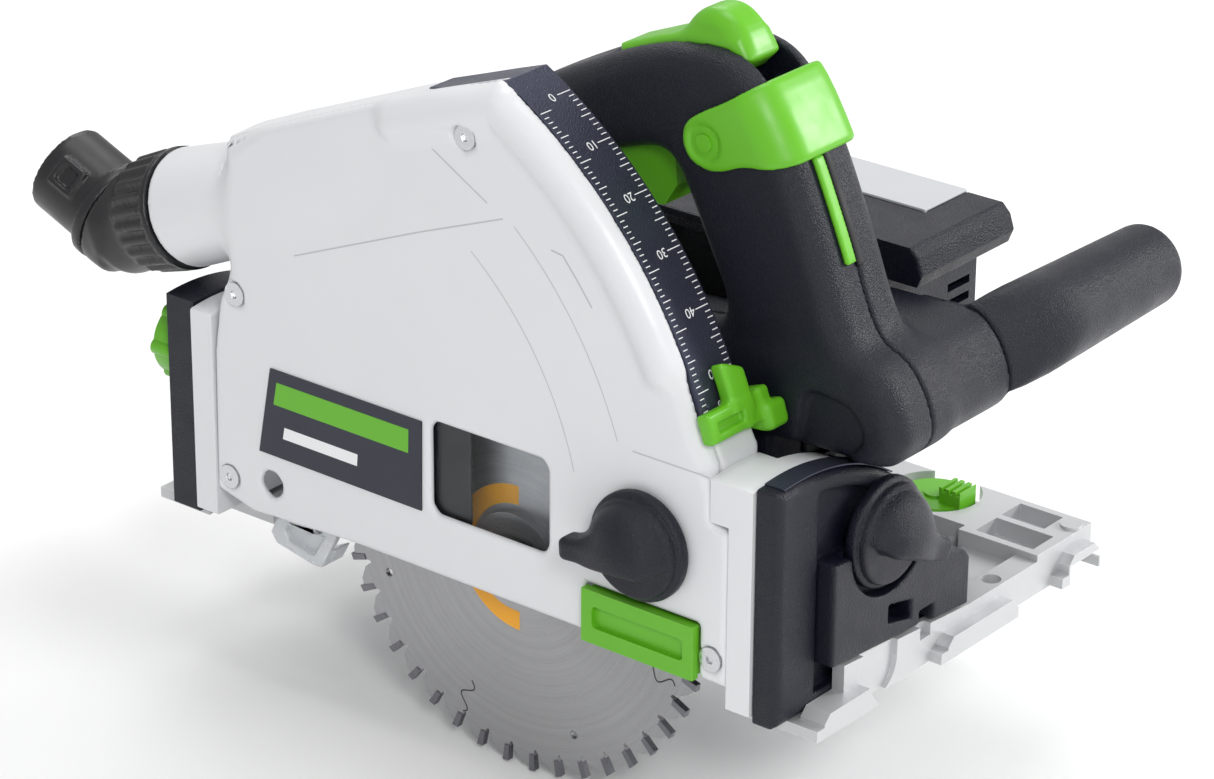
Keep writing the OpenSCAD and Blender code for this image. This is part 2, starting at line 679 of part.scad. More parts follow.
module pod_housing() {
    color(navy) difference() {
        slab_y(nose_y + 0.02, pod_y) pod_outline();
        slab_y(nose_y - 1, 110) offset(delta = -shell_t) pod_outline();
        slab_y(112, pod_y - shell_t) offset(delta = -shell_t) pod_outline();
        rod_y(motor_x, motor_z, 100, 120, 9.52);
        // air vents in the front wall and the end
        for (z = [80:6:104]) block([80, 126, z], [86, 139, z + 3]);
        for (x = [-20:8:20]) block([x, pod_y - 4, 24], [x + 4, pod_y + 1, 50]);
        rod_y(dial_at[0] - 4, dial_at[1], 96, 108, 13);
    }
}
module top_cover() {
    color(navy) difference() {
        slab_y(grip_hi + 6, pod_y) polygon([[-40, 121.02], [97, 121.02], [99, 126], [97, 132], [94, 135], [-36, 135],
            [-40, 130]]);
        slab_y(grip_hi, pod_y - shell_t) translate([-37, 118]) square([118, 14]);
        slab_y(grip_hi, nose_y + 0.3) translate([58, 118]) square([60, 20]);
        block([-30, 118, 133.8], [79, pod_y + 1, 140]);
    }
}
module control_panel() {
    color(white_grey) block([-30, 118, 133.82], [79, pod_y, 135.6]);
}
module control_board() {
    color([0.1, 0.35, 0.2]) {
        block([-32, 119, 88], [76, 121, 117]);
        for (x = [-24:20:56]) rod_y(x, 104, 120.9, 133, 6);
    }
}
module battery_rails() {
    color(black) for (x = [-26, 26]) {
        block([x - 2, pod_y, 56], [x + 2, pod_y + 5, 116]);
        block([x - (x < 0 ? 6 : 2), pod_y + 5, 56], [x + (x < 0 ? 2 : 6), pod_y + 8, 116]);
    }
}
module battery_contacts() {
    color([0.85, 0.65, 0.3]) {
        for (x = [-15, -5, 5, 15]) block([x - 0.6, pod_y, 84], [x + 0.6, pod_y + 7, 106]);
    }
}
module switch_block() {
    color(black) difference() {
        slab_y(grip_y - 8, grip_y + 8) polygon([[-18, 166], [-4, 171], [-4, 184], [-18, 178]]);
        rod_y(-11, 175, grip_y - 9, grip_y + 9, 1);
    }
}
module trigger() {
    color(green) slab_y(grip_y - 9, grip_y + 9) difference() {
        union() {
            translate(trigger_at) circle(r = 3.5);
            polygon([[5, 168], [10, 154], [18, 149], [34, 152], [39, 160], [38, 172], [8, 174]]);
        }
        translate(trigger_at) circle(r = 1.55);
        translate([26, 144]) circle(r = 7);
    }
}
module lock_button() {
    color(green) {
        slab_y(grip_y - 9, grip_y + 9) polygon([[16, 202], [15, 194], [62, 203], [66, 209], [62, 217], [52, 222],
            [42, 219], [34, 211]]);
    }
}
module plunge_lever() {
    half = grip_w / 2;
    color(green) difference() {
        union() {
            for (s = [-1, 1]) slab_y(grip_y + s * (half + 1.9) - 1.5, grip_y + s * (half + 1.9) + 1.5)
                polygon([[52, 180], [57, 173], [67, 173.5], [94, 180.5], [85, 201], [80, 203], [60, 193], [53, 188]]);
            slab_y(grip_y - half - 3.4, grip_y + half + 3.4) polygon([[90.6, 183.5], [94, 180.5], [84.6, 203], [80, 204.5], [81, 202]]);
            slab_y(grip_y - 5, grip_y + 5) polygon([[90.9, 183], [105, 150.5], [108, 152], [93.6, 184]]);
        }
        rod_y(lever_at[0], lever_at[1], grip_y - 40, grip_y + 40, 3);
    }
}
module lever_pin() {
    color(steel) rod_y(lever_at[0], lever_at[1], grip_y - grip_w / 2 - 3.4, grip_y + grip_w / 2 + 3.4, 2.99);
}
module speed_dial() {
    color(green) difference() {
        rod_y(dial_at[0] - 4, dial_at[1], 98, 106, 12);
        for (a = [0:20:340]) rod_y(dial_at[0] - 4 + 12.6 * cos(a), dial_at[1] + 12.6 * sin(a), 97, 107, 1.2);
    }
}

// ---- blade spindle ----
tooth_a = 360 / tooth_count;
tooth_0 = 197.56;
// Footprint of one carbide tip, with its cutting face at angle 0.
module tip_outline(gap) {
    edge_r = blade_d / 2;
    polygon([[edge_r - 6.6 - gap, 0.2], [edge_r - 6.2 - gap, -1.9 - gap], [edge_r, -2.3 - gap], [edge_r - 0.4, 0.2]]);
}
module saw_blade() {
    root_r = blade_d / 2 - 8;
    edge_r = blade_d / 2 - 0.6;
    color(steel) translate([0, blade_t / 2, arbor_z]) rotate([90, 0, 0]) linear_extrude(blade_t) difference() {
        polygon([for (i = [0:tooth_count - 1], k = [0:4])
            let (a = tooth_0 + i * tooth_a + tooth_a * [0.03, 0.12, 0.24, 0.58, 0.99][k],
                 r = [root_r, root_r - 0.5, edge_r - 4.6, edge_r - 1.4, edge_r - 0.5][k])
            r * [cos(a), sin(a)]]);
        circle(r = arbor_d / 2);
        for (i = [0:3]) rotate(i * 90 + 22) translate([blade_d / 2 - 16, 0]) circle(r = 1.6);
        for (i = [0:tooth_count - 1]) rotate(tooth_0 + i * tooth_a) tip_outline(0);
    }
}
module carbide_tips() {
    color([0.35, 0.35, 0.37]) translate([0, blade_t / 2 + 0.3, arbor_z]) rotate([90, 0, 0])
        linear_extrude(blade_t + 0.6)
        for (i = [0:tooth_count - 1]) rotate(tooth_0 + i * tooth_a) tip_outline(0);
}
module arbor() {
    color(steel) difference() {
        union() {
            rod_y(0, arbor_z, -blade_t / 2 + 0.05, 4.3, arbor_d / 2 - 0.03);
            rod_y(0, arbor_z, 4.2, 29, 5);
            rod_y(0, arbor_z, 4.2, 17.9, 7);
        }
        rod_y(0, arbor_z, -5, 12, 3);
    }
}
module blade_flanges() {
    color(steel) {
        ring_y(0, arbor_z, blade_t / 2, 4, 18, arbor_d / 2 + 0.01);
        ring_y(0, arbor_z, -4, -blade_t / 2, 18, 3.3);
    }
}
module arbor_bolt() {
    color([0.3, 0.3, 0.32]) difference() {
        union() {
            rod_y(0, arbor_z, -7.5, -4, 7);
            rod_y(0, arbor_z, -4.01, 11, 3);
        }
        translate([0, -9, arbor_z]) rotate([-90, 0, 0]) cylinder(h = 4, r = 2.9, $fn = 6);
    }
}
module driven_gear() {
    color(steel) difference() {
        slab_y(gear_y[0], gear_y[1]) translate([0, arbor_z]) gear_outline(gear_teeth, gear_m, motor_a);
        rod_y(0, arbor_z, 10, 40, 5);
    }
}
// ---- motor rotor ----
module motor_shaft() {
    color(steel) {
        rod_y(motor_x, motor_z, 28, 116, 4);
        slab_y(gear_y[0] - 0.5, 28.01) translate([motor_x, motor_z])
            gear_outline(pinion_teeth, gear_m, motor_a + 180 + 180 / pinion_teeth);
        rod_y(motor_x, motor_z, 16.4, 18, 3.5);
    }
}
module motor_rotor() {
    color([0.5, 0.5, 0.53]) ring_y(motor_x, motor_z, 56, 92, 16.4, 4);
}
module cooling_fan() {
    color(black) {
        ring_y(motor_x, motor_z, 40, 50, 8, 4);
        ring_y(motor_x, motor_z, 48.5, 50, 27, 7.9);
        for (a = [0:40:320]) translate([motor_x, 0, motor_z]) rotate([0, a, 0]) block([7.5, 40, -0.8], [26, 48.6, 0.8]);
    }
}

base_plate();
glide_strips();
front_bracket();
rear_bracket();
bracket_screws();
bevel_scale();
front_bevel_knob();
front_clamp_bolt();
rear_bevel_knob();
rear_clamp_bolt();
front_rail_cam();
rear_rail_cam();
guard_body();
guard_cover();
scale_arc();
name_plate();
sight_window();
front_segment();
rear_segment();
cover_screws();
pivot_pin();
dust_duct();
dust_elbow();
dust_outlet();
splinter_guard();
splinter_knob();
kickback_sensor();
depth_stop();
gearbox_housing();
arbor_bearing();
motor_bearings();
motor_housing();
motor_stator();
return_spring();
handle_right_shell();
handle_left_shell();
front_housing();
front_handle();
pod_housing();
top_cover();
control_panel();
control_board();
battery_rails();
battery_contacts();
switch_block();
trigger();
lock_button();
plunge_lever();
lever_pin();
speed_dial();
saw_blade();
carbide_tips();
arbor();
blade_flanges();
arbor_bolt();
driven_gear();
motor_shaft();
motor_rotor();
cooling_fan();
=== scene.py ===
import json
import math

import bpy
import numpy as np
from mathutils import Matrix, Vector

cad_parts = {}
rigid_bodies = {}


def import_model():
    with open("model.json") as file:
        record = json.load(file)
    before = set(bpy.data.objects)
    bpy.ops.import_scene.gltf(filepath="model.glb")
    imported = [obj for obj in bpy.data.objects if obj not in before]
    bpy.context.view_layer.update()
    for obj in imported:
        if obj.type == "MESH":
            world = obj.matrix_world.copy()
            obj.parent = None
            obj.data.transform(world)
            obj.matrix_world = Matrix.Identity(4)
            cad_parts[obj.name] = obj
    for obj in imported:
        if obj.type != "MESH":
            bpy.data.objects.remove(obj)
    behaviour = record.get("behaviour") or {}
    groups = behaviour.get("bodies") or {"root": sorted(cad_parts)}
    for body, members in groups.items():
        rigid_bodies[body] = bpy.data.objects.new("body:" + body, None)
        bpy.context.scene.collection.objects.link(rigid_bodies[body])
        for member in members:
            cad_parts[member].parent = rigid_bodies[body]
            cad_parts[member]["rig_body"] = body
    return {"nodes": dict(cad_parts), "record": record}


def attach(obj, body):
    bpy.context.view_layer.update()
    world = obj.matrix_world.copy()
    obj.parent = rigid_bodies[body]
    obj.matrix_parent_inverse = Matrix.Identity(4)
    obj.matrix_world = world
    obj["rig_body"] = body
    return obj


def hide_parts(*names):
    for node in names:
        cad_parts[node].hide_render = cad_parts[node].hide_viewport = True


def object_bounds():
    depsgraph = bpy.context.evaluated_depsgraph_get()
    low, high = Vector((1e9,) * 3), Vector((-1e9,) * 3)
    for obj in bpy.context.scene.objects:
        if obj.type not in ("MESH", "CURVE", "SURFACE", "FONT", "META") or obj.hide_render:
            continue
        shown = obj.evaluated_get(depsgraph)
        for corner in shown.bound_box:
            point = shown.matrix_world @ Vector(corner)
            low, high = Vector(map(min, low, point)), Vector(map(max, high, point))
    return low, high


# A cordless plunge saw for a guide rail. Shape helpers work in millimetres and
# give metres; X is the cutting direction, Y the motor side and Z up.

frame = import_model()
NODES = frame["nodes"]
CAD_BOX = [list(corner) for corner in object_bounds()]
MM = 0.001
COARSE = 1.0

PIVOT = np.array([-86.0, 41.0])
ARC_R = 181.0
ARC_LOW, ARC_HIGH = 19.0, 60.9
COVER_Y = -14.0
GUARD_IN = 12.0
DUCT = np.array([-158.0, 8.0, 110.0])
DUCT_TILT, OUTLET_TILT = math.radians(21.2), math.radians(22.3)
DUCT_R = 21.5
DUCT_AXIS = np.array([math.cos(DUCT_TILT), 0.0, math.sin(DUCT_TILT)])
OUTLET_AXIS = np.array([-math.cos(OUTLET_TILT), 0.0, math.sin(OUTLET_TILT)])
ELBOW_LENGTH = 35.4
GRIP_Y, GRIP_HALF = 42.0, 18.0
NOSE_Y = 88.0
QUAD_R = 89.0
ARBOR_Z = 25.0


# ---------------------------------------------------------------- materials

# nearly all values of a noise texture lie between these
NOISE_LOW, NOISE_HIGH = 0.3, 0.7


class Shader:
    """Builds one node material: a Principled shader with bump, roughness and colour detail."""

    def __init__(self, name, colour, roughness, metallic=0.0, **more):
        self.material = bpy.data.materials.new(name)
        self.material.use_nodes = True
        self.tree = self.material.node_tree
        self.shader = self.tree.nodes["Principled BSDF"]
        self.shader.inputs["Metallic"].default_value = metallic
        for socket, value in more.items():
            self.shader.inputs[socket.replace("_", " ")].default_value = value
        self.coords = self.node("ShaderNodeTexCoord").outputs["Object"]
        self.colour, self.roughness = colour, roughness
        self.normal = None

    def node(self, kind, **sockets):
        made = self.tree.nodes.new(kind)
        for socket, value in sockets.items():
            target = made.inputs[socket]
            if isinstance(value, bpy.types.NodeSocket):
                self.tree.links.new(value, target)
            else:
                target.default_value = value
        return made

    def link(self, source, target):
        self.tree.links.new(source, target)

    def noise(self, scale, detail=2.0, stretch=None):
        """A noise value whose features are 1 / scale metres wide."""
        coords = self.coords
        if stretch:
            mapping = self.node("ShaderNodeMapping", Vector=coords)
            mapping.inputs["Scale"].default_value = stretch
            coords = mapping.outputs["Vector"]
        made = self.node("ShaderNodeTexNoise", Vector=coords, Scale=scale, Detail=detail)
        return made.outputs["Fac"]

    def spread(self, value, low, high):
        """Maps a noise value onto a range."""
        made = self.node("ShaderNodeMapRange", Value=value)
        made.inputs["From Min"].default_value = NOISE_LOW
        made.inputs["From Max"].default_value = NOISE_HIGH
        made.inputs["To Min"].default_value = low
        made.inputs["To Max"].default_value = high
        return made.outputs["Result"]

    def bump(self, height, strength, distance):
        made = self.node("ShaderNodeBump", Height=height, Strength=strength, Distance=distance)
        if self.normal:
            self.link(self.normal, made.inputs["Normal"])
        self.normal = made.outputs["Normal"]

    def edges(self):
        """A mask that is 1 on worn edges, from the difference between a rounded and a true normal."""
        rounded = self.node("ShaderNodeBevel", Radius=0.6 * MM)
        rounded.samples = 4
        true = self.node("ShaderNodeNewGeometry").outputs["Normal"]
        dot = self.node("ShaderNodeVectorMath")
        dot.operation = "DOT_PRODUCT"
        self.link(rounded.outputs["Normal"], dot.inputs[0])
        self.link(true, dot.inputs[1])
        made = self.node("ShaderNodeMapRange", Value=dot.outputs["Value"])
        made.inputs["From Min"].default_value = 0.97
        made.inputs["From Max"].default_value = 0.75
        return made.outputs["Result"]

    def tint(self, mask, colour, amount):
        """Mixes a second colour in where the mask is high."""
        strength = self.node("ShaderNodeMath")
        strength.operation = "MULTIPLY"
        self.link(mask, strength.inputs[0])
        strength.inputs[1].default_value = amount
        mix = self.node("ShaderNodeMix")
        mix.data_type = "RGBA"
        self.link(strength.outputs[0], mix.inputs["Factor"])
        if isinstance(self.colour, bpy.types.NodeSocket):
            self.link(self.colour, mix.inputs["A"])
        else:
            mix.inputs["A"].default_value = (*self.colour, 1)
        mix.inputs["B"].default_value = (*colour, 1)
        self.colour = mix.outputs["Result"]

    def finish(self):
        for value, socket in ((self.colour, "Base Color"), (self.roughness, "Roughness"),
                              (self.normal, "Normal")):
            if isinstance(value, bpy.types.NodeSocket):
                self.link(value, self.shader.inputs[socket])
            elif value is not None:
                full = (*value, 1) if socket == "Base Color" else value
                self.shader.inputs[socket].default_value = full
        return self.material


def moulded(name, colour, rough, grain, depth, wear=None, mottle=0.12, coarse=0.00012, **more):
    """Spark-textured or satin plastic, with slight unevenness, and rubbed edges."""
    s = Shader(name, colour, 0.5, **more)
    s.tint(s.spread(s.noise(38), 0, 1), tuple(c * 0.78 for c in colour), mottle)
    if wear:
        s.tint(s.edges(), wear, 0.45)
    s.roughness = s.spread(s.noise(90, 3), *rough)
    s.bump(s.noise(grain, 2), depth, coarse)
    s.bump(s.noise(60), 0.06, 0.0004)
    return s.finish()


def metal(name, colour, rough, stretch=(1, 1, 1), grain=900, depth=0.15, wear=None):
    """Bare metal, brushed where the stretch is uneven."""
    s = Shader(name, colour, 0.3, 1.0)
    brushed = s.noise(grain, 3, stretch)
    s.tint(s.spread(s.noise(45, 3), 0, 1), tuple(c * 0.8 for c in colour), 0.25)
    if wear:
        s.tint(s.edges(), wear, 0.5)
    s.roughness = s.spread(brushed, *rough)
    s.bump(brushed, depth, 0.0001)
    return s.finish()


def turned(name, colour, centre, rough, depth):
    """Metal ground in circles about the Y axis through the centre, given in millimetres."""
    s = Shader(name, colour, 0.3, 1.0)
    offset = s.node("ShaderNodeVectorMath")
    offset.operation = "SUBTRACT"
    s.link(s.coords, offset.inputs[0])
    offset.inputs[1].default_value = (centre[0] * MM, 0, centre[1] * MM)
    flat = s.node("ShaderNodeVectorMath")
    flat.operation = "MULTIPLY"
    s.link(offset.outputs["Vector"], flat.inputs[0])
    flat.inputs[1].default_value = (1, 0, 1)
    length = s.node("ShaderNodeVectorMath")
    length.operation = "LENGTH"
    s.link(flat.outputs["Vector"], length.inputs[0])
    rings = s.node("ShaderNodeTexNoise", Scale=2600.0, Detail=3.0)
    rings.noise_dimensions = "1D"
    s.link(length.outputs["Value"], rings.inputs["W"])
    wide = s.node("ShaderNodeTexNoise", Scale=420.0, Detail=2.0)
    wide.noise_dimensions = "1D"
    s.link(length.outputs["Value"], wide.inputs["W"])
    s.tint(s.spread(wide.outputs["Fac"], 0, 1), tuple(c * 0.82 for c in colour), 0.35)
    s.roughness = s.spread(rings.outputs["Fac"], *rough)
    s.bump(rings.outputs["Fac"], depth, 0.00006)
    tangent = s.node("ShaderNodeTangent")
    tangent.direction_type, tangent.axis = "RADIAL", "Y"
    s.link(tangent.outputs["Tangent"], s.shader.inputs["Tangent"])
    s.shader.inputs["Anisotropic"].default_value = 0.75
    return s.finish()


MATERIALS = {
    "guard_white": moulded("guard_white", (0.74, 0.75, 0.77), (0.28, 0.40), 900, 0.10,
                           (0.88, 0.88, 0.88), 0.06),
    "navy_plastic": moulded("navy_plastic", (0.0045, 0.0055, 0.014), (0.32, 0.46), 1900, 1.0,
                            (0.05, 0.055, 0.08), 0.2, coarse=0.0004, Specular_IOR_Level=0.4),
    "green_plastic": moulded("green_plastic", (0.125, 0.46, 0.012), (0.34, 0.46), 1200, 0.12,
                             (0.26, 0.60, 0.06), 0.12),
    "black_plastic": moulded("black_plastic", (0.012, 0.012, 0.014), (0.30, 0.46), 1100, 0.22,
                             (0.08, 0.08, 0.08), 0.2),
    "rubber_black": moulded("rubber_black", (0.010, 0.010, 0.012), (0.55, 0.70), 1300, 0.4),
    "cast_alloy": moulded("cast_alloy", (0.56, 0.57, 0.58), (0.38, 0.52), 600, 0.3,
                          (0.8, 0.8, 0.8), 0.15, Metallic=0.35),
    "bright_steel": metal("bright_steel", (0.66, 0.67, 0.69), (0.18, 0.34), wear=(0.9, 0.9, 0.9)),
    "blade_steel": turned("blade_steel", (0.40, 0.40, 0.41), (0, ARBOR_Z), (0.26, 0.46), 0.6),
    "carbide": metal("carbide", (0.20, 0.20, 0.22), (0.25, 0.45), grain=1500, depth=0.2),
    "dark_steel": metal("dark_steel", (0.14, 0.14, 0.15), (0.3, 0.5)),
    "winding_copper": metal("winding_copper", (0.60, 0.26, 0.12), (0.25, 0.4), (1, 8, 1)),
    "magnet_iron": metal("magnet_iron", (0.30, 0.30, 0.32), (0.35, 0.55), (1, 12, 1)),
    "board_green": moulded("board_green", (0.02, 0.12, 0.06), (0.2, 0.35), 700, 0.2),
    "contact_brass": metal("contact_brass", (0.80, 0.58, 0.22), (0.2, 0.35)),
    "label_navy": moulded("label_navy", (0.012, 0.014, 0.030), (0.30, 0.40), 2200, 0.30),
    "scale_print": moulded("scale_print", (0.06, 0.065, 0.10), (0.34, 0.46), 1700, 1.0, None, 0.3,
                           coarse=0.0003, Metallic=0.7),
    "print_white": moulded("print_white", (0.86, 0.87, 0.88), (0.4, 0.5), 900, 0.05),
    "print_dark": moulded("print_dark", (0.03, 0.03, 0.035), (0.5, 0.6), 900, 0.05),
    "line_grey": moulded("line_grey", (0.50, 0.51, 0.53), (0.5, 0.6), 900, 0.05),
    "print_orange": moulded("print_orange", (0.90, 0.40, 0.01), (0.3, 0.4), 900, 0.08),
    "frosted_clear": moulded("frosted_clear", (0.80, 0.83, 0.86), (0.22, 0.34), 700, 0.15,
                             Transmission_Weight=0.35, IOR=1.49),
    "clear_pane": moulded("clear_pane", (0.92, 0.95, 0.97), (0.02, 0.06), 300, 0.02,
                          Transmission_Weight=1.0, IOR=1.2),
    "glide_coat": moulded("glide_coat", (0.05, 0.05, 0.055), (0.5, 0.6), 800, 0.2),
}


# ---------------------------------------------------------------- meshes

def add_piece(mesh, like, material, replace=()):
    """Puts a mesh into the scene, riding with the body of the CAD node it is like."""
    piece = bpy.data.objects.new(mesh.name, mesh)
    bpy.context.scene.collection.objects.link(piece)
    mesh.materials.clear()
    mesh.materials.append(MATERIALS[material])
    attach(piece, NODES[like]["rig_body"])
    if replace:
        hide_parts(*replace)
    return piece


def mesh_from(name, points, faces, smooth=True):
    """A mesh from points in millimetres and faces of one size."""
    mesh = bpy.data.meshes.new(name)
    faces = np.asarray(faces, np.int32)
    mesh.vertices.add(len(points))
    mesh.vertices.foreach_set("co", (np.asarray(points, float) * MM).astype(np.float32).ravel())
    mesh.loops.add(faces.size)
    mesh.loops.foreach_set("vertex_index", faces.ravel())
    mesh.polygons.add(len(faces))
    mesh.polygons.foreach_set("loop_start", np.arange(0, faces.size, faces.shape[1], dtype=np.int32))
    mesh.polygons.foreach_set("use_smooth", np.full(len(faces), smooth))
    mesh.update(calc_edges=True)
    mesh.validate()
    return mesh


CORNERS = np.array([(i, j, k) for i in (0, 1) for j in (0, 1) for k in (0, 1)])
CELL_EDGES = [(a, b) for a in range(8) for b in range(a + 1, 8)
              if np.abs(CORNERS[a] - CORNERS[b]).sum() == 1]


class Volume:
    """A grid of points, in millimetres, on which solid shapes are signed distances."""

    def __init__(self, low, high, step):
        self.step = step * COARSE
        self.low = np.array(low, float)
        counts = np.ceil((np.array(high) - self.low) / self.step).astype(int) + 1
        x, y, z = (self.low[i] + self.step * np.arange(counts[i]) for i in range(3))
        self.x, self.y, self.z = x[:, None, None], y[None, :, None], z[None, None, :]
        self.shape = tuple(counts)

    def skin(self, name, field):
        """The surface where the field is zero, as a smooth mesh of quads."""
        field = np.broadcast_to(field, self.shape)
        inside = field < 0
        cells = tuple(n - 1 for n in self.shape)
        filled = sum(inside[i:i + cells[0], j:j + cells[1], k:k + cells[2]].astype(np.int8)
                     for i, j, k in CORNERS)
        active = (filled > 0) & (filled < 8)
        where = np.argwhere(active)
        corner = [field[tuple((where + c).T)] for c in CORNERS]
        total, hits = np.zeros((len(where), 3)), np.zeros(len(where))
        for a, b in CELL_EDGES:
            crossed = (corner[a] < 0) != (corner[b] < 0)
            part = np.where(crossed, corner[a] / np.where(crossed, corner[a] - corner[b], 1), 0)
            total += crossed[:, None] * (CORNERS[a] + part[:, None] * (CORNERS[b] - CORNERS[a]))
            hits += crossed
        points = self.low + self.step * (where + total / hits[:, None])
        number = np.full(cells, -1)
        number[tuple(where.T)] = np.arange(len(where))
        quads = []
        for axis in range(3):
            u, v = (axis + 1) % 3, (axis + 2) % 3
            ahead = np.take(inside, range(1, self.shape[axis]), axis)
            behind = np.take(inside, range(self.shape[axis] - 1), axis)
            for turned_in in (True, False):
                edge = np.argwhere((behind & ~ahead) if turned_in else (ahead & ~behind))
                kept = np.all([edge[:, w] > 0 for w in (u, v)]
                              + [edge[:, w] < cells[w] for w in (u, v)], axis=0)
                edge = edge[kept]
                du, dv = np.eye(3, dtype=int)[u], np.eye(3, dtype=int)[v]
                ring = [number[tuple(e.T)] for e in (edge, edge - du, edge - du - dv, edge - dv)]
                quads.append(np.stack(ring if turned_in else ring[::-1], 1))
        return mesh_from(name, points, np.concatenate(quads))


def polygon(u, v, outline):
    """Signed distance in a plane to a closed outline, negative inside."""
    outline = np.asarray(outline, float)
    nearest = np.full(np.broadcast(u, v).shape, 1e9)
    inside = np.zeros(nearest.shape, bool)
    for (ax, ay), (bx, by) in zip(outline, np.roll(outline, -1, axis=0)):
        ex, ey = bx - ax, by - ay
        wx, wy = u - ax, v - ay
        t = np.clip((wx * ex + wy * ey) / (ex * ex + ey * ey), 0, 1)
        nearest = np.minimum(nearest, (wx - ex * t) ** 2 + (wy - ey * t) ** 2)
        if ey:
            inside = inside ^ (((ay <= v) != (by <= v)) & (u < ax + (v - ay) * ex / ey))
    return np.where(inside, -1, 1) * np.sqrt(nearest)


CORNER_POINTS = 5


def soften(outline, reach):
    """The outline with each corner replaced by a curve that starts up to reach before it."""
    outline = np.asarray(outline, float)
    soft = []
    neighbours = zip(np.roll(outline, 1, axis=0), outline, np.roll(outline, -1, axis=0))
    for before, corner, after in neighbours:
        ends = [corner + (other - corner) * min(0.48, reach / np.linalg.norm(other - corner))
                for other in (before, after)]
        for t in np.linspace(0, 1, CORNER_POINTS):
            soft.append(tuple((1 - t) ** 2 * ends[0] + 2 * t * (1 - t) * corner + t * t * ends[1]))
    return soft


def stroke(u, v, path):
    """Distance in a plane to an open path."""
    nearest = 1e9
    for (ax, ay), (bx, by) in zip(path[:-1], path[1:]):
        ex, ey = bx - ax, by - ay
        t = np.clip(((u - ax) * ex + (v - ay) * ey) / (ex * ex + ey * ey), 0, 1)
        nearest = np.minimum(nearest, (u - ax - ex * t) ** 2 + (v - ay - ey * t) ** 2)
    return np.sqrt(nearest)


def extrude(flat, along, low, high, edge=0.0):
    """A plane shape given depth from low to high, its edges rounded."""
    a = flat + edge
    b = np.abs(along - (low + high) / 2) - (high - low) / 2 + edge
    return np.minimum(np.maximum(a, b), 0) + np.hypot(np.maximum(a, 0), np.maximum(b, 0)) - edge


def box(u, v, w, low, high, edge):
    """A block between two corners, its edges rounded."""
    across = np.abs(u - (low[0] + high[0]) / 2) - (high[0] - low[0]) / 2
    flat = extrude(across, v, low[1], high[1], edge)
    return extrude(flat, w, low[2], high[2], edge)


def join(a, b, soft=0.0):
    """Union, with a fillet of about the given size."""
    if np.ndim(soft) == 0 and not soft:
        return np.minimum(a, b)
    h = np.clip(0.5 + 0.5 * (b - a) / soft, 0, 1)
    return b * (1 - h) + a * h - soft * h * (1 - h)


def cut(a, b, soft=0.0):
    return -join(-a, b, soft)


def overlap(a, b, soft=0.0):
    return -join(-a, -b, soft)


def along_axis(vol, origin, axis):
    """Distance along an axis from its origin, and distance from that axis."""
    axis = np.array(axis, float) / np.linalg.norm(axis)
    px, py, pz = vol.x - origin[0], vol.y - origin[1], vol.z - origin[2]
    t = px * axis[0] + py * axis[1] + pz * axis[2]
    return t, np.sqrt(np.maximum(px * px + py * py + pz * pz - t * t, 0))


def arc_points(centre, radius, first, last, count):
    turns = np.radians(np.linspace(first, last, count))
    return [(centre[0] + radius * math.cos(a), centre[1] + radius * math.sin(a)) for a in turns]


SLOT_OF = {s["node"]: s["material_slot"] for s in frame["record"]["subparts"]}


# ---------------------------------------------------------------- guard

def smooth_step(value, low, high):
    t = np.clip((value - low) / (high - low), 0, 1)
    return t * t * (3 - 2 * t)


GUARD = ([(-112, 13.2), (-62, 15.5), (42, 15.5), (98, 13.5), (98, 69), (90.6, 71.5), (90.6, 90)]
         + arc_points(PIVOT, ARC_R, ARC_LOW, ARC_HIGH, 34)
         + [(-46, 182), (-104, 158.5), (-124, 149.5), (-124, 97), (-128, 71), (-129, 17.5)])
HOLLOW = ([(-126.3, 8), (-125.5, 71), (-121.5, 97), (-121.5, 147.5), (-103, 155.5), (-45, 179.3),
           (1.5, 196.3)]
          + arc_points(PIVOT, ARC_R + 5, ARC_HIGH, ARC_LOW, 24)
          + [(82, 98.5), (87, 88), (88, 70), (95.5, 66), (95.5, 8)])
WINDOW, WINDOW_ROUND = ((-28, 38.5), (23, 73)), 4
SCREWS, SEAT_R, SEAT_Y = ((-117.6, 94.5), (-122.7, 23.5), (-11.8, 178), (91.2, 22.1)), 4.7, -12.7
KEY_HOLE, KEY_HOLE_R = (-102.4, 26.5), 5
MOUTH_X, MOUTH_TOP = (39, 87), 34
WALL_Y = -9    # cuts that only open the outer wall end here
DUCT_WALL, DUCT_TAPER = 2.6, 0.045


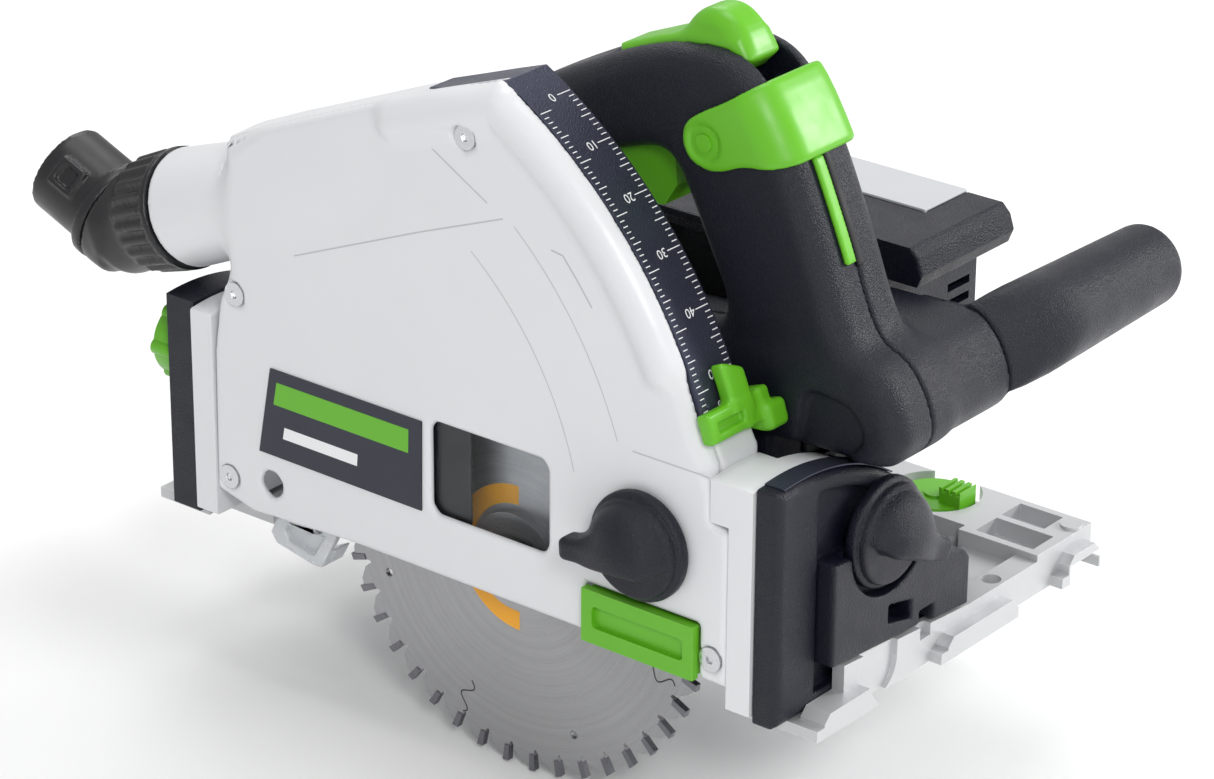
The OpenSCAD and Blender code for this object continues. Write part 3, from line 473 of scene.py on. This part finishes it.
def guard_pieces():
    vol = Volume((-168, -18.6, 9), (103, 33, 205), 1.15)
    from_pivot = np.hypot(vol.x - PIVOT[0], vol.z - PIVOT[1])
    near_arc = smooth_step(from_pivot, 160, 176) * smooth_step(vol.z, 76, 92)
    near_duct = smooth_step(-vol.x, 96, 124) * smooth_step(vol.z, 88, 104)
    roll = 1.8 + np.where(vol.y < 0, 5.4, 0) * near_arc + np.where(vol.y < 0, 8, 0) * near_duct
    shell = extrude(polygon(vol.x, vol.z, GUARD), vol.y, COVER_Y, GUARD_IN, roll)
    # a raised rim follows the arc and the top edge
    border = arc_points(PIVOT, 173.5, 26.5, 59.5, 16) + [(2, 191.3), (-20, 183.8), (-43, 175.6)]
    rim = np.hypot(stroke(vol.x, vol.z, border), vol.y + 10.2) - 7.2
    shell = join(shell, rim, 4)
    # the dust channel swells out of the guard and runs to the mouth
    t, off = along_axis(vol, DUCT, DUCT_AXIS)
    channel = extrude(off - (DUCT_R - DUCT_TAPER * t), t, 0, 104, 2)
    channel = overlap(channel, vol.y - (31 - 0.25 * t), 4)
    shell = join(shell, channel, 9)
    low = -11.5 + 1.9 * near_arc
    inner = np.maximum(polygon(vol.x, vol.z, HOLLOW), np.maximum(low - vol.y, vol.y - 9.5))
    bore = extrude(off - (DUCT_R - DUCT_WALL - DUCT_TAPER * t), t, -5, 98, 2)
    bore = np.maximum(bore, vol.y - (28.6 - 0.25 * t))
    shell = cut(cut(shell, inner), bore)
    # window, screw seats, key hole, mouth for the splinter guard
    (x0, z0), (x1, z1) = WINDOW
    past_x = np.abs(vol.x - (x0 + x1) / 2) - (x1 - x0) / 2 + WINDOW_ROUND
    past_z = np.abs(vol.z - (z0 + z1) / 2) - (z1 - z0) / 2 + WINDOW_ROUND
    window = (np.hypot(np.maximum(past_x, 0), np.maximum(past_z, 0))
              + np.minimum(np.maximum(past_x, past_z), 0) - WINDOW_ROUND)
    shell = cut(shell, np.maximum(window, vol.y), 0.6)
    for x, z in SCREWS:
        seat = np.hypot(vol.x - x, vol.z - z)
        shell = cut(shell, np.maximum(seat - SEAT_R, vol.y - SEAT_Y))
    key_hole = np.hypot(vol.x - KEY_HOLE[0], vol.z - KEY_HOLE[1]) - KEY_HOLE_R
    shell = cut(shell, np.maximum(key_hole, vol.y - WALL_Y), 0.5)
    mouth = np.maximum(np.maximum(MOUTH_X[0] - vol.x, vol.x - MOUTH_X[1]), vol.z - MOUTH_TOP)
    shell = cut(shell, np.maximum(mouth, vol.y - WALL_Y))
    # the inner side is open over the base and along the spindle's travel
    start = math.degrees(math.atan2(ARBOR_Z - PIVOT[1], -PIVOT[0]))
    reach = math.hypot(PIVOT[0], ARBOR_Z - PIVOT[1])
    travel = polygon(vol.x, vol.z, arc_points(PIVOT, reach + 16, start - 10, start + 49, 20)
                     + arc_points(PIVOT, reach - 16, start + 49, start - 10, 20))
    under = polygon(vol.x, vol.z, [(-120, 0), (-120, 22), (-96, 22), (-94, 17), (60, 17), (84, 30),
                                   (84, 0)])
    shell = cut(shell, np.maximum(np.minimum(travel, under), 7 - vol.y))
    covered = np.minimum(vol.y + 8.2, np.maximum(off - 25, t - 38))
    cover = vol.skin("guard_cover_skin", overlap(shell, covered))
    body = vol.skin("guard_body_skin", overlap(shell, 0.25 - covered))
    add_piece(cover, "guard_cover", "guard_white", ("guard_cover", "dust_duct"))
    add_piece(body, "guard_body", "guard_white", ("guard_body",))


def flat_band(name, first, second, y):
    """A flat band between two lines of (x, z) points, at the given Y."""
    points = [(x, y, z) for pair in zip(first, second) for x, z in pair]
    faces = [(2 * i, 2 * i + 1, 2 * i + 3, 2 * i + 2) for i in range(len(first) - 1)]
    return mesh_from(name, points, faces)


def ribbon(name, like, material, path, width, y):
    """A thin line lying on a face at the given Y."""
    path = np.asarray(path, float)
    tangent = np.gradient(path, axis=0)
    length = np.linalg.norm(tangent, axis=1)[:, None]
    side = np.stack([-tangent[:, 1], tangent[:, 0]], 1) / length * width / 2
    add_piece(flat_band(name, path + side, path - side, y), like, material)


def guard_lines():
    """Grey lines painted on the flat cover where its creases run: painted shade for folds the shell
    does not have.
    """
    face = COVER_Y - 0.03
    lines = {
        "crease_upper": ([(-41.6, 179.8), (-22, 168.8), (-2.2, 157.7)], 0.5),
        "crease_middle": ([(-88.5, 116.6), (-31.4, 140.1), (4.5, 153.9)], 0.5),
        "crease_corner": ([(24.7, 148.3), (29.6, 147.6), (35.6, 140.5), (41.7, 132.7)], 0.6),
        "crease_inner": (arc_points(PIVOT, 124.5, 52, 14.7, 24), 0.35),
        "crease_outer": (arc_points(PIVOT, 146.5, 49.5, 19, 24), 0.35),
        "crease_lower": ([(39, 34.8), (60, 34.8), (87, 34.8)], 0.45),
        "crease_ledge": ([(58.8, 87.2), (75, 87.2), (90.4, 87.2)], 0.5),
    }
    # each line is painted shade, lying a hair in front of the cover's face
    for name, (path, width) in lines.items():
        ribbon(name, "guard_cover", "line_grey", path, width, face)


STRIP_DEPTH, TICK_WIDTH = 3.9, 0.34
SCALE_ZERO, SCALE_STEP = 57.1, 36.1 / 55    # degrees about the pivot, and per millimetre of depth


def scale_pieces():
    """The dark arc, which runs on over the top, with its two rows of ticks and its numbers."""
    left, right = -9.7, 11.0
    arc = [(x, z, left, right) for x, z in arc_points(PIVOT, ARC_R + 0.5, ARC_LOW, ARC_HIGH, 60)]
    over = [(-10, 195.4, left, right), (-24, 190.4, left + 2, right), (-38, 185.5, left + 9, right)]
    profile = arc + over
    points, faces = [], []
    for x, z, y0, y1 in profile:
        inward = np.array([PIVOT[0] - x, PIVOT[1] - z])
        inward = inward / np.linalg.norm(inward) * STRIP_DEPTH
        under_x, under_z = x + inward[0], z + inward[1]
        points += [(x, y0, z), (x, y1, z), (under_x, y1, under_z), (under_x, y0, under_z)]
    last = 4 * (len(profile) - 1)
    for i in range(0, last, 4):
        faces += [(i + a, i + (a + 1) % 4, i + 4 + (a + 1) % 4, i + 4 + a) for a in range(4)]
    faces += [(3, 2, 1, 0), (last, last + 1, last + 2, last + 3)]
    mesh = mesh_from("scale_strip", points, faces, False)
    strip = add_piece(mesh, "scale_arc", "scale_print", ("scale_arc",))
    round_edges(strip, 0.25)
    face = ARC_R + 0.53
    points, faces = [], []

    def tick(y0, y1, angle):
        half = math.degrees(TICK_WIDTH / 2 / ARC_R)
        first = len(points)
        for y, a in ((y0, angle - half), (y1, angle - half), (y1, angle + half), (y0, angle + half)):
            x, z = PIVOT + face * np.array([math.cos(math.radians(a)), math.sin(math.radians(a))])
            points.append((x, y, z))
        faces.append((first, first + 1, first + 2, first + 3))

    for step in range(56):
        length = 6.4 if step % 10 == 0 else 4.6 if step % 5 == 0 else 2.6
        tick(right - 0.9 - length, right - 0.9, SCALE_ZERO - step * SCALE_STEP)
        tick(left + 0.9, left + 0.9 + length * 0.82, SCALE_ZERO - 1.3 - step * SCALE_STEP)
    add_piece(mesh_from("scale_ticks", points, faces, False), "scale_arc", "print_white")
    for number in (0, 10, 20, 30, 40, 50, 55):
        a = math.radians(SCALE_ZERO - number * SCALE_STEP)
        text = bpy.data.curves.new(f"scale_number_{number}", "FONT")
        text.body, text.size = str(number), 4.6 * MM
        text.align_x, text.align_y = "CENTER", "CENTER"
        label = bpy.data.objects.new(f"scale_number_{number}", text)
        bpy.context.scene.collection.objects.link(label)
        x, z = PIVOT + face * np.array([math.cos(a), math.sin(a)])
        axes = Matrix(((0, math.sin(a), math.cos(a)), (-1, 0, 0), (0, -math.cos(a), math.sin(a))))
        bpy.context.view_layer.update()
        mesh = bpy.data.meshes.new_from_object(label)
        mesh.transform(Matrix.Translation(Vector((x, 0.9, z)) * MM) @ axes.to_4x4())
        mesh.name = f"scale_digits_{number}"
        bpy.data.objects.remove(label)
        add_piece(mesh, "scale_arc", "print_white")


# ---------------------------------------------------------------- handles

NOSE_TIP = [(119, 121), (126, 118.5), (133, 110), (137, 98), (133, 90), (105, 72), (98, 66)]
HANDLE = soften([(-52, 66), (-54, 110), (-48, 150), (-38, 173), (-16, 186), (20, 204), (40, 211),
                 (62, 213), (76, 206), (90, 184), (104, 152), (112, 130)] + NOSE_TIP, 12)
HAND_GAP = soften([(-24, 118), (-24, 146), (-16, 156), (34, 173), (42, 171), (64, 127), (60, 119),
                   (50, 116), (-14, 112)], 8)
NOSE = soften([(62, 66), (62, 112), (70, 119)] + NOSE_TIP, 8)
MOTOR_X, MOTOR_Z = 9.30, 44.94
LEVER_PIN = (59, 183)
LEVER_CLEARANCE = 0.35


def handle_field(x, y, z):
    """The grip and nose as one solid, with room for the front quadrant and the gear case."""
    grip = extrude(polygon(x, z, HANDLE), y, GRIP_Y - GRIP_HALF, GRIP_Y + GRIP_HALF, 9)
    grip = cut(grip, extrude(polygon(x, z, HAND_GAP), y, 0, 90) - 1, 9)
    nose = extrude(polygon(x, z, NOSE), y, GRIP_Y - GRIP_HALF, NOSE_Y + 20, 7)
    body = overlap(join(grip, nose, 5), y - NOSE_Y + 0.2)
    quadrant = np.maximum(np.hypot(y, z) - QUAD_R - 2, 86 - x)
    gear_case = np.maximum(np.hypot(x - MOTOR_X, z - MOTOR_Z) - 33.4, y - 32.5)
    return cut(cut(body, quadrant, 2), gear_case)


def handle_pieces():
    vol = Volume((-58, 20, 70), (141, 92, 217), 1.1)
    body = overlap(handle_field(vol.x, vol.y, vol.z), 72.1 - vol.z)
    # slot for the trigger, mouth for the lock button, and a finger recess in the nose
    across = np.abs(vol.y - GRIP_Y)
    trigger = polygon(vol.x, vol.z, [(3, 150), (44, 150), (44, 180), (0, 180)])
    button = polygon(vol.x, vol.z, [(12, 190), (72, 200), (80, 210), (66, 224), (12, 214)])
    body = cut(body, np.maximum(np.minimum(trigger, button), across - 9.4), 0.6)
    pad = polygon(vol.x, vol.z, soften([(96, 84), (100, 108), (118, 106), (124, 96), (112, 84)], 5))
    body = cut(body, extrude(pad, vol.y, 10, 25.6, 1), 3)
    right = vol.skin("handle_right_skin", overlap(body, vol.y - GRIP_Y + 0.15))
    left = vol.skin("handle_left_skin", overlap(body, GRIP_Y + 0.15 - vol.y))
    add_piece(right, "handle_right_shell", "navy_plastic", ("handle_right_shell",))
    add_piece(left, "handle_left_shell", "navy_plastic", ("handle_left_shell", "front_housing"))


def front_handle_piece():
    vol = Volume((90, 86, 66), (151, 183, 130), 1.0)
    nose = polygon(vol.x, vol.z, NOSE)
    past = np.maximum(vol.y - NOSE_Y, 0)
    soft = np.clip(past * 0.8, 0.02, 14)
    block = extrude(np.maximum(nose, 98 - vol.x) + 0.5 * past, vol.y, NOSE_Y - 10, NOSE_Y + 26, 5)
    bar = np.hypot(vol.x - 131, vol.z - 111) - (16.8 - 0.024 * past)
    bar = extrude(bar, vol.y, NOSE_Y - 10, 179.6, 5)
    bar = overlap(bar, nose - 0.7 * past, np.clip(past * 0.5, 0.02, 6))
    whole = overlap(join(block, bar, soft), NOSE_Y + 0.2 - vol.y)
    add_piece(vol.skin("front_handle_skin", whole), "front_handle", "navy_plastic", ("front_handle",))


def lever_pieces():
    vol = Volume((44, 18, 164), (101, 66, 214), 0.85)
    grip = handle_field(vol.x, vol.y, vol.z)
    band = soften([(50, 189), (48.5, 182), (52, 175), (60, 172.5), (67, 174), (74, 177.5),
                   (84, 178.5), (96, 182), (99, 192), (88, 208), (80, 209), (66, 199), (57, 194)], 5)
    band = polygon(vol.x, vol.z, band)
    band = overlap(np.maximum(grip - 3.2, LEVER_CLEARANCE - grip), band + 1, 2) - 0.2
    dimple = np.hypot(vol.x - LEVER_PIN[0], vol.z - LEVER_PIN[1]) - 6.2
    band = cut(band, np.maximum(dimple, 20.6 - np.abs(vol.y - GRIP_Y)), 0.8)
    # clear of the grip over the whole swing
    for swing in (7, 14):
        c, s = math.cos(math.radians(swing)), math.sin(math.radians(swing))
        dx, dz = vol.x - LEVER_PIN[0], vol.z - LEVER_PIN[1]
        swung = handle_field(LEVER_PIN[0] + c * dx - s * dz, vol.y, LEVER_PIN[1] + s * dx + c * dz)
        band = overlap(band, LEVER_CLEARANCE - swung)
    add_piece(vol.skin("lever_band", band), "plunge_lever", "green_plastic", ("plunge_lever",))
    vol = Volume((82, 30, 140), (118, 50, 198), 0.7)
    grip = handle_field(vol.x, vol.y, vol.z)
    # two strips down the front of the grip: name, node, material, ends, middle, half width, height
    for name, node, material, low, high, y, half, proud in (
            ("lever_tongue", "plunge_lever", "green_plastic", 148.5, 182, 37.6, 2.5, 1.7),
            ("grip_strip", "handle_left_shell", "rubber_black", 146.5, 190, 42.6, 1.7, 1.2)):
        strip = np.maximum(np.maximum(low - vol.z, vol.z - high), np.abs(vol.y - y) - half)
        strip = overlap(np.maximum(grip - proud, -0.2 - grip), np.maximum(strip, 84 - vol.x), 1)
        add_piece(vol.skin(name, strip), node, material)


def lock_button_piece():
    vol = Volume((8, 29, 186), (78, 55, 226), 0.7)
    low = [(15, 195), (14, 203), (30, 209.5), (44, 214), (62, 215), (67, 209), (62, 203)]
    low = extrude(polygon(vol.x, vol.z, low), vol.y, 33, 51, 2.5)
    fin = soften([(34, 204), (41, 218), (48, 223), (56, 223), (64, 217), (68, 207)], 6)
    fin = extrude(polygon(vol.x, vol.z, fin), vol.y, 33, 51, 6)
    whole = join(low, fin, 3)
    for i in range(6):
        x = 17 + 2.9 * i
        whole = cut(whole, np.hypot(vol.x - x, vol.z - (204.6 + (x - 14) * 0.40)) - 0.9, 0.3)
    add_piece(vol.skin("lock_button_skin", whole), "lock_button", "green_plastic", ("lock_button",))


# ---------------------------------------------------------------- dust port

def dust_pieces():
    vol = Volume((-232, -22, 68), (-150, 38, 146), 0.95)
    back = -DUCT_AXIS
    t, off = along_axis(vol, DUCT, back)
    up = np.cross(back, (0, 1, 0))
    rise = (vol.x - DUCT[0]) * up[0] + (vol.z - DUCT[2]) * up[2]
    turn = np.arctan2(rise, vol.y - DUCT[1])
    ribs = 0.75 * np.clip(1.6 * np.cos(24 * turn), -1, 1)
    collar = extrude(off - (21.7 + ribs - 0.07 * t), t, 3.4, 20, 1.2)
    rim = extrude(off - 22.1, t, 0.6, 3.6, 0.6)
    joint = DUCT + back * ELBOW_LENGTH
    t2, off2 = along_axis(vol, joint, OUTLET_AXIS)
    ball = np.sqrt((vol.x - joint[0]) ** 2 + (vol.y - joint[1]) ** 2 + (vol.z - joint[2]) ** 2)
    neck = extrude(off - 19.4, t, 12, ELBOW_LENGTH - 2, 1)
    elbow = join(join(neck, ball - 18.9, 4), extrude(off2 - 19.0, t2, -6, 3.0, 0.8), 3)
    elbow = join(join(collar, rim), elbow, 2)
    hollow = join(extrude(off - 16.2, t, -6, ELBOW_LENGTH), ball - 15.6)
    hollow = join(hollow, extrude(off2 - 15.6, t2, 0, 20))
    elbow = np.maximum(cut(elbow, hollow), t2 - 3.0)
    add_piece(vol.skin("dust_elbow_skin", elbow), "dust_elbow", "black_plastic", ("dust_elbow",))
    pipe = extrude(off2 - 17, t2, 3.4, 32, 0.8)
    lip = extrude(off2 - 20, t2, 3.4, 8, 1)
    sleeve = extrude(off2 - 15.4, t2, -8, 8, 0.4)
    # the catch stands out from the outlet, square to its axis
    out = np.array([0, -0.80, 0.60])
    out = out - out.dot(OUTLET_AXIS) * OUTLET_AXIS
    out /= np.linalg.norm(out)
    side = np.cross(OUTLET_AXIS, out)
    px, py, pz = vol.x - joint[0], vol.y - joint[1], vol.z - joint[2]
    high = px * out[0] + py * out[1] + pz * out[2]
    wide = px * side[0] + py * side[1] + pz * side[2]
    catch = box(t2, wide, high, (14, -5.5, 14), (26, 5.5, 18.2), 0.6)
    pocket = box(t2, wide, high, (16.5, -3.4, 16.6), (23.5, 3.4, 20), 0.3)
    pipe = cut(join(join(pipe, lip, 1.2), catch, 0.6), pocket, 0.4)
    pipe = cut(join(pipe, sleeve), extrude(off2 - 13.5, t2, -12, 40))
    add_piece(vol.skin("dust_outlet_skin", pipe), "dust_outlet", "black_plastic", ("dust_outlet",))


# ---------------------------------------------------------------- knobs, brackets, stop

FRONT_KNOB = (118.2, 39.75, 57.62)
STOP_ANGLE = 18.4


def wing_knob(name, node, centre, out, wing):
    """A turning knob: a stepped disc, half a dome, and a wing to one side."""
    centre, out, wing = (np.array(v, float) for v in (centre, out, wing))
    wing /= np.linalg.norm(wing)
    up = np.cross(out, wing)
    up = up if up[2] > 0 else -up
    corners = centre + np.array([a * 27 * wing + b * 21 * up + c * 21 * out
                                 for a in (-1, 1) for b in (-1, 1) for c in (-0.15, 1)])
    vol = Volume(corners.min(0), corners.max(0), 0.75)
    px, py, pz = vol.x - centre[0], vol.y - centre[1], vol.z - centre[2]
    u, v, h = (px * d[0] + py * d[1] + pz * d[2] for d in (wing, up, out))
    radial = np.hypot(u, v)
    disc = join(extrude(radial - 19.3, h, 0.4, 5.0, 1.4), extrude(radial - 17.3, h, 0.4, 7.6, 1.2))
    dome = (np.sqrt((radial / 16.6) ** 2 + ((h - 5) / 13.8) ** 2) - 1) * 13.0
    dome = overlap(overlap(dome, -4.5 - v, 1.5), 4 - h)
    bar = box(u, v, h, (-9, -6.0, 6.6), (24.5, 2.0, 15.6), 2.2)
    whole = join(disc, join(dome, bar, 5), 1.5)
    # only the front bevel knob takes its bolt's end
    bore = np.maximum(radial - 4.05, h - 12) if node == "front_bevel_knob" else 1.0 + 0 * radial
    add_piece(vol.skin(name, cut(whole, bore)), node, "navy_plastic", (node,))


def front_bracket_piece():
    vol = Volume((105, -16, 2), (127, 92, 93), 0.85)
    radius = np.hypot(vol.y, vol.z)
    flat = np.maximum(np.maximum(radius - QUAD_R, -13 - vol.y), np.maximum(vol.y - 79, 4.2 - vol.z))
    body = extrude(flat, vol.x, 108, 118, np.where(vol.x > 112, 3.6, 0.5))
    hollow = np.maximum(np.maximum(radius - QUAD_R + 7, 8 - vol.y), 10 - vol.z)
    body = cut(body, extrude(hollow, vol.x, 114.8, 130, 0.4), 1.6)
    back = np.maximum(np.maximum(radius - QUAD_R + 12, 24 - vol.y), np.maximum(vol.y - 76, 14 - vol.z))
    boss = np.hypot(vol.y - FRONT_KNOB[1], vol.z - FRONT_KNOB[2])
    body = cut(body, np.maximum(np.maximum(back, 10 - boss), vol.x - 112))
    foot = box(vol.x, vol.y, vol.z, (108, 8, 4.1), (118, 46, 8), 0.4)
    plate = [(9, 20.5), (9, 57), (40, 55), (55, 47), (84, 35), (86.5, 32), (86.5, 14), (66, 16),
             (66, 22), (58, 22), (58, 17)]
    plate = extrude(polygon(vol.y, vol.z, plate), vol.x, 113.5, 124, 1)
    body = join(join(body, plate, 0.8), foot)
    body = cut(body, np.maximum(boss - 21.5, 118.1 - vol.x), 0.5)
    slot = polygon(vol.y, vol.z, [(40, 24.5), (40, 31.5), (53, 28.5), (53, 21.5)])
    body = cut(body, extrude(slot, vol.x, 110, 130))
    body = cut(body, np.maximum(boss - 4.2, 100 - vol.x))
    for y in (22, 36):
        body = cut(body, np.maximum(np.hypot(vol.x - 113, vol.y - y) - 2.2, vol.z - 7.2))
    add_piece(vol.skin("front_bracket_skin", body), "front_bracket", "navy_plastic", ("front_bracket",))


def depth_stop_piece():
    vol = Volume((72, -17, 94), (108, 26, 140), 0.7)
    dx, dz = vol.x - PIVOT[0], vol.z - PIVOT[1]
    up = (np.arctan2(dz, dx) - math.radians(STOP_ANGLE)) * ARC_R
    off = np.hypot(dx, dz) - ARC_R
    bar = box(up, vol.y, off, (-1.5, -14.2, 1.0), (8.5, 8, 6.2), 1.3)
    fin = box(up, vol.y, off, (3, -1, 1.0), (21.5, 9.5, 6.6), 1.5)
    fin = overlap(fin, up + 0.45 * vol.y - 21.5, 1.5)
    hook = box(up, vol.y, off, (-5, 12.6, -10.8), (9, 18.2, 6.2), 1.3)
    lug = box(up, vol.y, off, (-5.5, 13, -2), (3.5, 23, 8), 2)
    link = box(up, vol.y, off, (-1.5, 4, 1.4), (8.5, 15, 6.0), 1)
    whole = join(join(join(bar, fin, 2), join(hook, lug, 1.5), 1), link, 1.5)
    whole = cut(whole, np.maximum(off - 0.85, vol.y - 12.3))
    notch = box(up, vol.y, off, (1.4, -9.5, 4.6), (4.6, 3, 9), 0.2)
    whole = cut(whole, notch, 0.4)
    add_piece(vol.skin("depth_stop_skin", whole), "depth_stop", "green_plastic", ("depth_stop",))


# ---------------------------------------------------------------- blade and prints

def chip_deflector():
    """A dark lip behind the left part of the window: painted shade standing in for the window's shaded
    left edge.
    """
    vol = Volume((-33, -12, 34), (-11, -8, 78), 0.6)
    # a black sheet placed here as painted shade inside the window's left edge
    lip = box(vol.x, vol.y, vol.z, (-31, -10.2, 36), (-13, -9.2, 76), 0.3)
    add_piece(vol.skin("chip_deflector", lip), "guard_body", "black_plastic")


def blade_marks():
    """The printed half ring and the sound slits, a hair proud of the plate."""
    face = -0.93
    inner, outer = (arc_points((0, ARBOR_Z), radius, 90, 270, 40) for radius in (20.2, 27.2))
    for name, y in (("blade_ring_right", face), ("blade_ring_left", -face)):
        add_piece(flat_band(name, inner, outer, y), "saw_blade", "print_orange")
    for turn in range(4):
        base = math.radians(turn * 90 + 248)
        wave = []
        for s in np.linspace(0, 1, 26):
            angle, radius = base + 0.035 * math.sin(s * 9), 58 + 14 * s
            wave.append((math.cos(angle) * radius, ARBOR_Z + math.sin(angle) * radius))
        ribbon(f"blade_slit_{turn}", "saw_blade", "print_dark", wave, 0.55, face)
        ribbon(f"blade_slit_back_{turn}", "saw_blade", "print_dark", wave, 0.55, -face)


def plate_bar():
    """Plain bars in place of any name."""
    y = -14.64
    points = [(-99.5, y, 58.4), (-37.5, y, 58.2), (-37.2, y, 67), (-97.8, y, 67.1)]
    add_piece(mesh_from("name_plate_bar", points, [(0, 1, 2, 3)]), "name_plate", "green_plastic")
    points = [(-95.5, y, 46.4), (-61, y, 46.3), (-60.6, y, 50.8), (-94.6, y, 50.9)]
    add_piece(mesh_from("name_plate_line", points, [(0, 1, 2, 3)]), "name_plate", "print_white")


# ---------------------------------------------------------------- CAD parts that stay

def round_edges(piece, width):
    """Softens the sharp edges of a piece by the given width in millimetres."""
    bevel = piece.modifiers.new("round_edges", "BEVEL")
    bevel.width = width * MM
    bevel.segments = 2
    bevel.limit_method = "ANGLE"
    bevel.angle_limit = math.radians(35)


EDGE_WIDTH = {"base_plate": 0.7, "rear_bracket": 1.6, "motor_housing": 2.0, "pod_housing": 2.0,
              "top_cover": 1.2, "control_panel": 0.4, "front_segment": 0.8, "rear_segment": 0.8,
              "gearbox_housing": 1.0, "splinter_guard": 0.5, "rear_bevel_knob": 0.8,
              "front_rail_cam": 0.5, "rear_rail_cam": 0.5, "trigger": 1.2, "kickback_sensor": 0.8,
              "battery_rails": 0.5, "arbor_bolt": 0.4}
MATERIAL_FOR = {"saw_blade": "blade_steel", "blade_flanges": "blade_steel",
                "lever_pin": "green_plastic", "control_panel": "line_grey"}


def dress_cad():
    """Gives every CAD part that stays its material, and soft edges where they show."""
    for node, piece in NODES.items():
        material = MATERIALS[MATERIAL_FOR.get(node, SLOT_OF[node])]
        if not piece.material_slots:
            piece.data.materials.append(material)
        for slot in piece.material_slots:
            slot.material = material
        if node in EDGE_WIDTH and not piece.hide_render:
            weld = piece.modifiers.new("weld", "WELD")
            weld.merge_threshold = 0.00001
            round_edges(piece, EDGE_WIDTH[node])


# ---------------------------------------------------------------- stage

FLOOR_HALF, FLOOR_GAP = 4.0, 0.0004
LAMP_TARGET = (0.02, 0.03, 0.07)
LAMPS = (("key", (1.2, -1.0, 1.1), 0.4, 11), ("rim", (-0.9, 0.9, 1.3), 0.8, 7),
         ("front", (0.95, 1.15, 0.66), 0.45, 14), ("top", (0.0, 0.1, 1.7), 0.7, 8))
CAMERA_PLACE, CAMERA_TARGET, CAMERA_ROLL = (0.8409, -0.9993, 0.6717), (0.0368, 0, 0.0979), 0.33
LENS, SENSOR = 127.6, 36.0


def stage():
    """Floor, even studio light and the camera."""
    bpy.context.scene.view_settings.view_transform = "Standard"
    pale = moulded("floor_pale", (0.93, 0.93, 0.93), (0.7, 0.8), 30, 0.02, mottle=0.02)
    mesh = bpy.data.meshes.new("floor")
    low = CAD_BOX[0][2] - FLOOR_GAP
    corners = [(-1, -1), (1, -1), (1, 1), (-1, 1)]
    mesh.from_pydata([(x * FLOOR_HALF, y * FLOOR_HALF, low) for x, y in corners], [], [(0, 1, 2, 3)])
    mesh.materials.append(pale)
    floor = bpy.data.objects.new("floor", mesh)
    bpy.context.scene.collection.objects.link(floor)

    world = bpy.data.worlds.new("studio")
    bpy.context.scene.world = world
    world.use_nodes = True
    world.node_tree.nodes["Background"].inputs["Color"].default_value = (1, 1, 1, 1)
    world.node_tree.nodes["Background"].inputs["Strength"].default_value = 0.55
    for name, place, width, power in LAMPS:
        light = bpy.data.lights.new(name, "AREA")
        light.shape, light.size, light.energy = "SQUARE", width, power
        lamp = bpy.data.objects.new(name, light)
        lamp.location = place
        aim = Vector(LAMP_TARGET) - Vector(place)
        lamp.rotation_euler = aim.to_track_quat("-Z", "Y").to_euler()
        bpy.context.scene.collection.objects.link(lamp)

    camera = bpy.data.cameras.new("camera")
    camera.lens, camera.sensor_width = LENS, SENSOR
    camera.clip_start, camera.clip_end = 0.05, 20
    viewer = bpy.data.objects.new("camera", camera)
    place, target = Vector(CAMERA_PLACE), Vector(CAMERA_TARGET)
    aim = (target - place).to_track_quat("-Z", "Y").to_matrix()
    roll = Matrix.Rotation(math.radians(CAMERA_ROLL), 3, "Z")
    viewer.matrix_world = Matrix.Translation(place) @ (aim @ roll).to_4x4()
    bpy.context.scene.collection.objects.link(viewer)
    bpy.context.scene.camera = viewer


guard_pieces()
guard_lines()
scale_pieces()
handle_pieces()
front_handle_piece()
lever_pieces()
lock_button_piece()
dust_pieces()
wing_knob("splinter_knob_skin", "splinter_knob", (64, -14.1, 56), (0, -1, 0), (-1, 0, -0.08))
wing_knob("front_bevel_knob_skin", "front_bevel_knob", FRONT_KNOB, (1, 0, 0), (0, 0.92, -0.39))
front_bracket_piece()
depth_stop_piece()
chip_deflector()
blade_marks()
plate_bar()
dress_cad()
stage()
